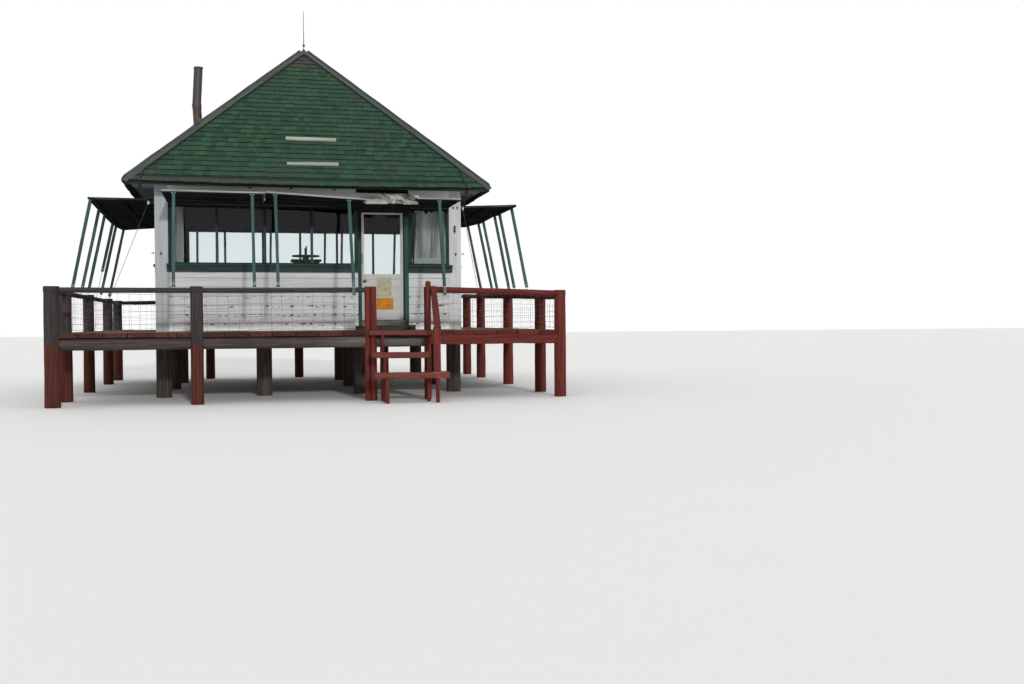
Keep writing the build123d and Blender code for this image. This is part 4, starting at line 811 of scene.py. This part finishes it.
def window_woodwork():
    """Frames, mullions and sills of the window bands."""
    y0, y1 = FRONT + 0.015, FRONT + 0.065
    foot, head, stile = SILL_TOP + 0.022, WINDOW_HEAD - 0.055, 0.055
    dark, bars, sill, worn, pale = (Forms(seed) for seed in (100, 104, 101, 102, 103))
    for (quarter, x0, x1), bays, ears in zip(WALLS, (4, 1, 6, 6, 6), ((0.025, 0), (0, 0.05), *((0, 0),) * 3)):
        onto(quarter)
        dark.block((x0, y0, SILL_TOP), (x1, y1, foot), **LONG)
        dark.block((x0, y0, head), (x1, y1, WINDOW_HEAD), **LONG)
        for x in (x0, x1 - stile):
            dark.block((x, y0, foot), (x + stile, y1, head), 2, **SHORT)
        for i in range(1, bays):
            x = x0 + (x1 - x0) * i / bays
            bars.block((x - 0.022, y0, foot), (x + 0.022, y1, head), 2, **SHORT)
        # a pale strip along each window head: a painted highlight of the head's edge catching light
        pale.block((x0 + 0.01, FRONT + 0.001, WINDOW_HEAD - 0.022), (x1 - 0.01, y0, WINDOW_HEAD - 0.006), rings=12,
                   wear=0.001, chamfer=0.002)
        a, b = x0 - ears[0], x1 + ears[1]
        sill.block((a, FRONT - 0.045, SILL_TOP - 0.04), (b, FRONT + 0.1, SILL_TOP), chamfer=0.006, **TRIM)
        sill.block((a, FRONT - 0.022, SILL_TOP - 0.076), (b, FRONT - 0.001, SILL_TOP - 0.04), rings=14, wear=0.001)
        worn.block((a, FRONT - 0.019, SILL_TOP - 0.128), (b, FRONT - 0.001, SILL_TOP - 0.076), **TRIM)
    onto(0)
    dark.make("window_frame_boards", dark_green_wood, "green_trim", "front_window_frames", "outer_window_frames")
    bars.make("window_mullions", mullion_wood, "green_trim")
    sill.make("window_sill_boards", green_wood, "green_trim", "window_sills")
    worn.make("window_sill_aprons", sill_wood, "green_trim")
    pale.make("window_head_highlight_strip", head_highlight_wood, "white_boards")
    dress(pane, "window_glass")


def frieze():
    """Boards, joints and small fixings over the windows."""
    boards, bits, dark = Forms(105), Forms(106), Forms(107)
    low, high = SHUTTER_LEVEL + 0.03, SOFFIT - 0.002
    for quarter in range(4):
        onto(quarter)
        cuts = (-INNER_EDGE, *((-0.8, 0.9) if quarter else (-0.9, 0.36, 0.7, 1.56)), INNER_EDGE)
        for a, b in zip(cuts, cuts[1:]):
            boards.block((a + 0.002, FRONT - 0.012, low), (b - 0.002, FRONT - 0.001, high), rings=7, wear=0.001)
        # a dark strip between the window heads and the frieze boards all round: painted shade under the shutters
        dark.block((-INNER_EDGE, FRONT - 0.0036, WINDOW_HEAD - 0.004), (INNER_EDGE, FRONT - 0.0004, low - 0.002),
                   rings=9, wear=0.0004, chamfer=0.001)
    onto(0)
    boards.make("frieze_boards", head_white, "white_boards")
    # a dark board over the door head as painted shadow of the broken shutter, and a board in the frieze gap: red-brown
    # wood behind a missing board, darkened as painted shade
    dark.block((JAMB_LEFT, FRONT - 0.012, WINDOW_HEAD - 0.05), (JAMB_RIGHT, FRONT - 0.004, WINDOW_HEAD + 0.05), **LONG)
    dark.block((0.704, FRONT - 0.02, SOFFIT - 0.062), (1.558, FRONT - 0.012, SOFFIT - 0.003), rings=9, wear=0.002)
    dark.make("frieze_gap_and_shade_boards", gap_and_shade_wood, "post_stain")
    for x, z in ((-0.979, SOFFIT - 0.02), (-0.336, SOFFIT - 0.012), (0.349, SOFFIT - 0.02), (1.07, SOFFIT - 0.05)):
        bits.block((x - 0.03, FRONT - 0.022, z - 0.01), (x + 0.03, FRONT - 0.012, z + 0.008), **STILL)
    for x, z in ((-LEFT_CLAMP[0], LEFT_CLAMP[1]), RIGHT_CLAMP):
        bits.block((x - 0.025, FRONT - 0.31, z - 0.03), (x + 0.025, FRONT - 0.27, z + 0.025), **STILL)
    for x, z in ((-2.348, 2.279), (2.349, 2.301), (2.311, 3.076), (2.378, 3.077)):
        bits.block((x - 0.01, FRONT - 0.012, z - 0.022), (x + 0.01, FRONT, z + 0.022), 2, **STILL)
        bits.wire([(x, FRONT - 0.01, z + 0.01), (x + 0.004, FRONT - 0.03, z), (x + 0.01, FRONT - 0.03, z + 0.014)],
                  0.003)
    for x, z in ((2.481, 2.311), (-2.475, 2.286)):
        bits.wire(ring((x, FRONT + 0.03, z), 0.015, 0, 0.015, 17), 0.004)
        bits.wire([(np.sign(x) * HALF, FRONT + 0.03, z), (x, FRONT + 0.03, z)], 0.004)
    for z, r in ((2.776, 0.012), (2.75, 0.03), (2.72, 0.022), (2.69, 0.03), (2.66, 0.014)):
        bits.turned([(2.334, FRONT - 0.016 - 0.001 * k, z - 0.012 + 0.008 * k) for k in range(4)],
                    [r * 0.4, r * 0.7, r * 0.7, r * 0.4], sides=12)
    bits.make("wall_fittings", dark_metal, "rod_metal")


def ring(middle, x, y, z, count):
    """Points round an upright closed ring, with its reach along each axis."""
    return [(middle[0] + x * cos(a), middle[1] + y * cos(a), middle[2] + z * sin(a))
            for a in np.linspace(0, 2 * pi, count)]


def tilted(x, rise, lean):
    """The move of a level panel to its place on the wall: hinged at x, raised and leaning."""
    turn = np.array(Matrix.Rotation(radians(lean), 3, "Y") @ Matrix.Rotation(radians(-rise), 3, "X"))
    return lambda points: points @ turn.T + (x, FRONT, SHUTTER_LEVEL)


def shutter(forms, edges, x0, x1, rise, lean, quarter=0):
    """A shutter of boards on a frame, with an outer edge strip."""
    half = (x1 - x0) / 2
    onto(quarter, tilted((x0 + x1) / 2, rise, lean))
    count = max(1, round(2 * half / 0.187))
    pitch = 2 * half / count
    for k in range(count):
        x = -half + k * pitch
        forms.block((x + 0.0004, -SHUTTER_REACH + 0.03, -0.001), (x + pitch - 0.0004, -0.004, 0.019), 1, rings=5)
    for y, width in ((-0.05, 0.09), (-0.52, 0.09), (-SHUTTER_REACH + 0.07, 0.08)):
        forms.block((-half, y - width / 2, -0.019), (half, y + width / 2, -0.001), **SHORT)
    for x in (-half, half - 0.058):
        forms.block((x, -SHUTTER_REACH + 0.11, -0.018), (x + 0.058, -0.1, -0.001), 1, rings=4, wear=0.001)
    forms.block((-half, -SHUTTER_REACH + 0.002, -0.0185), (half, -SHUTTER_REACH + 0.03, -0.004), rings=5)
    edges.block((-half, -SHUTTER_REACH + 0.001, -0.004), (half, -SHUTTER_REACH + 0.029, 0.0185), chamfer=0.003,
                **TRIM)


def shutters():
    """Propped shutters on every side. The front one over the door is broken: part of it is whole, the rest
    sags or lies loose."""
    forms, edges, sides, loose, chain = (Forms(seed) for seed in (110, 111, 113, 112, 114))
    gap = 0.006
    ends = [((i - 1.5) * SHUTTER_PITCH + gap, (i - 0.5) * SHUTTER_PITCH - gap) for i in range(3)]
    for (x0, x1), tilt in zip((*ends[:2], (1.563, ends[2][1])), FRONT_TILTS):
        shutter(forms, edges, x0, x1, *tilt)
    for quarter, tilts in enumerate((RIGHT_TILTS, BACK_TILTS, LEFT_TILTS), 1):
        for (x0, x1), tilt in zip(ends, tilts):
            shutter(forms, sides, x0, x1, *tilt, quarter)
    for x0, x1 in ((0.762, 1.095), (1.345, 1.575)):
        onto(0, tilted((x0 + x1) / 2, -9.2, 0))
        half, count = (x1 - x0) / 2, round((x1 - x0) / 0.16)
        for k in range(count):
            a, b = (-half + 2 * half * (k + t) / count for t in (0.02, 0.98))
            loose.block((a, -SHUTTER_REACH + loose.random.uniform(0, 0.02), 0.1), (b, -0.014, 0.118), 1, rings=8,
                        wear=0.003)
        loose.block((-half, -SHUTTER_REACH - 0.004, 0.068), (half, -SHUTTER_REACH + 0.03, 0.094), **WORN)
        loose.block((-half + 0.03, -0.56, 0.08), (half, -0.48, 0.1), rings=5)
    onto(0)
    for x0, z0, x1, reach, z1, width in ((1.228, 3.29, 1.236, 1.05, 3.098, 0.21),
                                         (1.556, 3.272, 1.56, 1.0, 3.135, 0.055)):
        loose.board((x0, FRONT - 0.014, z0), (x1, FRONT - reach, z1), ACROSS, width, 0.03, **WORN)
    forms.make("shutter_boards", shutter_wood, "shutter_boards",
               "front_shutter_left", "front_shutter_middle", "front_shutter_right", "outer_shutters")
    edges.make("shutter_edge_strips", edge_wood, "white_boards")
    # these strips hang at the window heads' height, where dark_green_wood puts its near-black painted shade
    sides.make("side_shutter_edge_strips", dark_green_wood, "green_trim")
    loose.make("broken_shutter_boards", loose_wood, "grey_boards")
    for k in range(7):
        middle = (-0.783, FRONT - SHUTTER_REACH - 0.006, SHUTTER_LEVEL + 0.03 - k * 0.022)
        chain.wire(ring(middle, 0.007 * (k % 2), 0.007 * (1 - k % 2), 0.013, 11), 0.0022)
    chain.make("shutter_chain", wire_metal, "rod_metal")


def prop(wooden, rods, top, foot, past=0.0, twist=0.0):
    """A prop's bar from a shutter's edge, past its foot, with the bolt through its top and turns of wire."""
    run = (foot - top) / np.linalg.norm(foot - top)
    wooden.board(top + run * 0.021, foot + run * past, ACROSS, 0.046, 0.046, 0.004, 11, 0.002, twist)
    rods.block(top + (-0.03, -0.03, -0.03), top + (0.03, -0.024, -0.018), **STILL)
    turn = np.array([(x, y, 0) for x, y in ((-1, -1), (1, -1), (1, 1), (-1, 1), (-1, -1))]) * 0.026
    for k in range(3):
        rods.wire(foot - run * (0.035 + 0.012 * k) + turn, 0.0018)


def strut(wooden, rods, top, rail_point, rail, rod_end):
    """A prop towards the rail, on a thin rod hooked over it."""
    rail_point = np.array(rail_point)
    run = (rail_point - top) / np.linalg.norm(rail_point - top)
    end = rail_point - run * (rail + rod_end)
    twist = wooden.random.uniform(-0.06, 0.06)
    rods.wire([end - run * 0.05, end, rail_point - run * rail, rail_point + run * 0.2 * rail], 0.006, 8)
    prop(wooden, rods, top, end, twist=twist)


def struts():
    """Two props to each shutter, and one to the broken one."""
    wooden, rods = Forms(120), Forms(121)

    def head(x, i, tilts):
        rise, lean = tilts[i]
        level = STRUT_OUT * sin(radians(rise)) - (x - (i - 1) * SHUTTER_PITCH) * sin(radians(lean))
        return np.array((x, FRONT - STRUT_OUT, SHUTTER_LEVEL + level))

    for x, i in ((-2.083, 0), (-0.946, 0), (-0.604, 1)):
        strut(wooden, rods, head(x, i, FRONT_TILTS), (x + 0.02, POST_Y, RAIL_LEVEL), RAIL_RADIUS, 0.015)
    for x, i, radius, drift in ((0.505, 1, RAIL_RADIUS, 0.01), (1.915, 2, RED_RADIUS, -0.03)):
        prop(wooden, rods, head(x, i, FRONT_TILTS), np.array((x + drift, POST_Y - radius - 0.024, RAIL_LEVEL)), 0.075)
    near, far = POST_Y - MIDDLE, BACK_POST_Y - MIDDLE
    usual = (0.06,) * 6
    right, left = (0.11, 0.11, *usual[2:]), (*usual[:2], 0.47, *usual[3:])
    for quarter, tilts, places, rod_ends, ends, levels, reach, radius in (
            (1, RIGHT_TILTS, (-2.04, -1.11, -0.68, 0.32, 0.79, 1.86), right,
             (near, far), RIGHT_LEVELS, EDGE_X - HALF, RED_RADIUS),
            (2, BACK_TILTS, (-2.079, -0.934, -0.572, 0.572, 0.934, 2.079), usual,
             (-EDGE_X, EDGE_X), (RIGHT_LEVELS[1], LEFT_LEVELS[1]), BACK_POST_Y - BACK, RAIL_RADIUS),
            (3, LEFT_TILTS, (-2.18, -1.0, -0.51, 0.56, 1.26, 2.225), left,
             (-far, -near), LEFT_LEVELS[::-1], EDGE_X - HALF, RAIL_RADIUS)):
        onto(quarter)
        for k, (x, rod_end) in enumerate(zip(places, rod_ends)):
            level = DECK_TOP + between(levels, *ends, x + 0.02)
            strut(wooden, rods, head(x, k // 2, tilts), (x + 0.02, FRONT - reach, level), radius, rod_end)
    onto(0)
    wooden.make("strut_bars", strut_wood, "strut_green", "front_struts", "outer_struts")
    rods.make("strut_rods_and_ties", bright_metal, "rod_metal")


def fence_mesh():
    """Welded wire mesh between the deck and the rails, sagging a little."""
    forms = Forms(130)
    random = forms.random
    low, out, post = DECK_TOP + 0.01, 0.03, 0.09
    for start, end, levels in (
            ((-EDGE_X + 0.1, POST_Y - out), (0.69, POST_Y - out), (0.57, 0.57)),
            ((1.69, POST_Y - out), (EDGE_X - post, POST_Y - out), [v - 0.045 for v in RED_LEVELS]),
            ((-EDGE_X - out, POST_Y + post), (-EDGE_X - out, BACK_POST_Y - post), [v - 0.03 for v in LEFT_LEVELS]),
            ((EDGE_X + out, POST_Y + post), (EDGE_X + out, BACK_POST_Y - post), [v - 0.045 for v in RIGHT_LEVELS]),
            ((-EDGE_X + post, BACK_POST_Y + out), (EDGE_X - post, BACK_POST_Y + out),
             [v[1] - 0.03 for v in (LEFT_LEVELS, RIGHT_LEVELS)])):
        start, end = np.array(start), np.array(end)
        length = np.linalg.norm(end - start)
        across = np.array([-(end - start)[1], (end - start)[0]]) / length
        phase = random.uniform(0, 6, 4)

        def place(s, t):
            high = DECK_TOP + between(levels, 0, length, s)
            bulge = 0.016 * sin(s * 2.1 + phase[0]) * sin(t * pi) + 0.006 * sin(s * 5.3 + phase[1])
            dip = 0.01 * sin(s * 1.7 + phase[2]) + 0.006 * sin(s * 6.1 + phase[3] + t * 2)
            return (*(start + (end - start) * (s / length) + across * bulge),
                    min(low + (high - low) * t + dip, high + 0.02))

        for t in (0.03, 0.2, 0.37, 0.54, 0.71, 0.98):
            forms.wire([place(s, t) for s in np.linspace(0, length, max(3, int(length / 0.15)))], 0.0017, 4)
        for s in np.arange(0.03, length, 0.152):
            lean = random.uniform(-0.008, 0.008)
            forms.wire([place(min(s + lean * t, length), t) for t in (0, 0.25, 0.5, 0.75, 1)], 0.0016, 4)
    forms.make("wire_mesh_fence", wire_metal, "rod_metal")


def pipe_and_rod():
    """The stovepipe with its joint, rim and slight lean, and the lightning rod."""
    pipe = Forms(140)
    low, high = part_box("stovepipe")
    x, y = (low.x + high.x) / 2, (low.y + high.y) / 2
    joint, top, radius = DECK_TOP + 3.77, high.z, 0.071
    profile = [(0, low.z), (0, joint - 0.07), (0.004, joint - 0.06), (0.006, joint), (0.001, joint + 0.03),
               (0, joint + 0.05), (0, top - 0.03), (0.005, top - 0.024), (0.005, top - 0.002), (0, top),
               (-0.003, top - 0.002), (-0.003, top - 0.6)]
    pipe.turned([(x - 0.02 - 0.03 * min(1, (z - low.z) / (joint - low.z)) + 0.034 * max(0, (z - joint) / (top - joint)),
                  y, z) for out, z in profile], [radius + out for out, z in profile], sides=32)
    pipe.make("stovepipe_sheet", pipe_metal, "pipe_metal", "stovepipe")
    dress(flash_metal, "pipe_flashing")
    dress(rod_metal, "lightning_rod")


def cables():
    """The rod's cables: along the front hips, over the eave to a clamp, then taut to the side posts."""
    forms, clamps, taut = Forms(145), Forms(146), Forms(147)
    offset, rise, over = 0.13, 0.038, EAVE_HALF + 0.066
    y, post_y = FRONT - 0.03, FRONT + 4.5
    for side, turn, (foot, clamp), out, levels in ((-1, 2.7, LEFT_CLAMP, 0.085, LEFT_LEVELS),
                                                   (1, 2.52, RIGHT_CLAMP, 0.03, RIGHT_LEVELS)):
        spots = [(0.015, offset + 0.015)] + [(t - offset, t) for t in np.linspace(0.3, turn, 12)]
        spots += [(turn - offset + 0.35 * (foot - turn + offset), 0.5 * (turn + over)), (foot, over)]
        run = [(side * x, MIDDLE - t, APEX - t * tan(PITCH) + rise) for x, t in spots]
        run += [(side * foot, MIDDLE - over - 0.004, clamp + 0.03), (side * foot, FRONT - 0.4, clamp)]
        forms.wire(run, 0.009, 8)
        top = DECK_TOP + between(levels, POST_Y, BACK_POST_Y, post_y) + OVER_RAIL + 0.007
        bracket = side * (HALF + out)
        taut.wire([run[-1], (bracket, y, BRACKET), (side * (EDGE_X - 0.048), post_y, top)], 0.0042, 8)
        taut.wire([(side * HALF, y, BRACKET), (bracket, y, BRACKET)], 0.005)
        clamps.turned([(bracket, y, BRACKET + z) for z in (-0.03, -0.02, 0.02, 0.03)], [0.01, 0.018, 0.018, 0.01],
                      sides=12)
    forms.make("lightning_cable_strands", cable_metal, "rod_metal", "lightning_cables")
    taut.make("taut_cables", wire_metal, "rod_metal")
    clamps.make("cable_clamps", bright_metal, "rod_metal")


def door_pieces():
    """The leaf with its sheets, the frame and the step plank before it."""
    dress(pane, "door_glass")
    dress(knob_metal, "door_knob", "door_hinges", "door_knuckles")
    low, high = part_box("door_leaf")
    glass_low, glass_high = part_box("door_glass")
    leaf, latch, jambs, foot, step = (Forms(seed) for seed in (150, 155, 152, 154, 153))
    y0, y1 = low.y + 0.001, high.y - 0.001
    rail_low, rail_high = low.z + 0.16, glass_low.z - 0.09
    for x0, x1 in ((low.x, glass_low.x), (glass_high.x, high.x)):
        leaf.block((x0, y0, low.z), (x1, y1, high.z), 2, **LONG)
    for z0, z1 in ((low.z, rail_low), (rail_high, glass_low.z), (glass_high.z, high.z)):
        leaf.block((glass_low.x, y0, z0), (glass_high.x, y1, z1), **SHORT)
    leaf.block((glass_low.x - 0.01, y0 + 0.005, rail_low - 0.01), (glass_high.x + 0.01, y0 + 0.021, rail_high + 0.01),
               **FINE)
    leaf.make("door_leaf_boards", door_wood, "white_boards", "door_leaf", body="door")
    for name, x0, x1, z0, z1, look in (("cream_sheet", 1.041, 1.281, 0.554, 0.871, cream_paper),
                                       ("orange_sheet", 1.035, 1.306, 0.341, 0.533, orange_paper)):
        sheet = Forms(151)
        sheet.block((x0, y0 - 0.002, DECK_TOP + z0), (x1, y0 + 0.001, DECK_TOP + z1), chamfer=0.0004, **LONG)
        sheet.make(name, look, "white_boards", body="door")
    latch.block((low.x + 0.004, y0 - 0.004, DECK_TOP + 1.09), (low.x + 0.03, y0, DECK_TOP + 1.27), 2, rings=4, wear=0)
    latch.make("door_latch_plate", knob_metal, "knob_metal", body="door")
    frame_low, frame_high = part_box("door_frame")
    left, right, head, inner = low.x - 0.005, high.x + 0.005, frame_high.z - 0.085, FRONT + 0.11
    for x0, x1 in ((frame_low.x, left), (right, frame_high.x)):
        jambs.block((x0, FRONT, frame_low.z), (x1, inner, frame_high.z), 2, **LONG)
    jambs.block((left, FRONT, head), (right, inner, frame_high.z), **LONG)
    stop_y, stop_end, stop = low.y - 0.025, low.y - 0.005, 0.014
    for x in (left, right - stop):
        jambs.block((x, stop_y, FLOOR_TOP), (x + stop, stop_end, head), 2, **FINE)
    jambs.block((left, stop_y, head - stop), (right, stop_end, head), **FINE)
    jambs.make("door_frame_boards", jamb_wood, "green_trim", "door_frame")
    foot.block((left, FRONT - 0.03, DECK_TOP), (right, inner, FLOOR_TOP), rings=9, wear=0.003, chamfer=0.006)
    foot.make("door_threshold", threshold_wood, "green_trim")
    step.block(*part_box("door_step"), chamfer=0.012, rings=12, wear=0.006)
    step.make("door_step_plank", step_wood, "raw_timber", "door_step")


def curtain(side, x0, x1, folds, ragged):
    """A cotton curtain in gentle folds inside a front window, its top edge uneven."""
    low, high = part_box("curtain_" + side)
    columns, rows = 61, 25
    phase = np.random.default_rng(160 + folds).uniform(0, 6, 4)
    points = []
    for j in range(rows):
        for i in range(columns):
            s, t = i / (columns - 1), j / (rows - 1)
            fold = sin(s * folds * 2 * pi + phase[0] + t) + 0.5 * sin(s * folds * pi + phase[1])
            top = high.z - ragged * (0.5 + 0.3 * sin(s * 11 + phase[2]) + 0.2 * sin(s * 27 + phase[3]))
            points.append((x0 + (x1 - x0) * s, (low.y + high.y) / 2 + 0.003 * fold, low.z + (top - low.z) * t))
    faces = [(a, a + 1, a + columns + 1, a + columns) for j in range(rows - 1)
             for a in range(j * columns, (j + 1) * columns - 1)]
    mesh = bpy.data.meshes.new("window_curtain_" + side)
    mesh.from_pydata(points, [], faces)
    piece = settle(mesh, cotton, "curtain_cloth", "curtain_" + side)


def window_things():
    """A pale board that stands inside the right window, and a dark stick that leans behind it."""
    board, stick = Forms(170), Forms(171)
    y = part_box("curtain_right")[0].y - 0.016
    board.block((1.568, y, SILL_TOP - 0.004), (2.094, y + 0.012, SILL_TOP + 0.115), **LONG)
    board.make("window_board", door_wood, "white_boards")
    y = FRONT + 0.095
    stick.board((1.697, y, 2.992), (1.65, y, SILL_TOP), ACROSS, 0.022, 0.022, 0.003, **LONG)
    # the stick takes the inside's near-black painted shade
    stick.make("window_stick", inside_shade_wood, "raw_timber")


def plain_nodes():
    """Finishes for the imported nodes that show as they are."""
    dress(raw_post_wood, "foundation_posts")
    dress(raw_wood, "cabin_sills", "floor_joists", "deck_ledgers")
    dress(floor_wood, "cabin_floor")
    # the ceiling and the finder's stand take the inside's near-black painted shade
    dress(inside_shade_wood, "ceiling", "finder_stand")
    dress(soffit_wood, "soffit_boards")
    dress(head_white, "wall_heads")
    dress(trim_white, "corner_posts", "front_wall_left", "front_wall_right", "right_wall", "back_wall", "left_wall")
    dress(dark_metal, "fire_finder")


view()
floor_and_light()
shingles()
hips_and_cleats()
deck()
posts_and_rails()
stair()
siding()
window_woodwork()
frieze()
shutters()
struts()
fence_mesh()
pipe_and_rod()
cables()
door_pieces()
curtain("left", -2.24, -2.01, 5, 0.02)
curtain("right", 1.675, 2.19, 9, 0.16)
window_things()
plain_nodes()
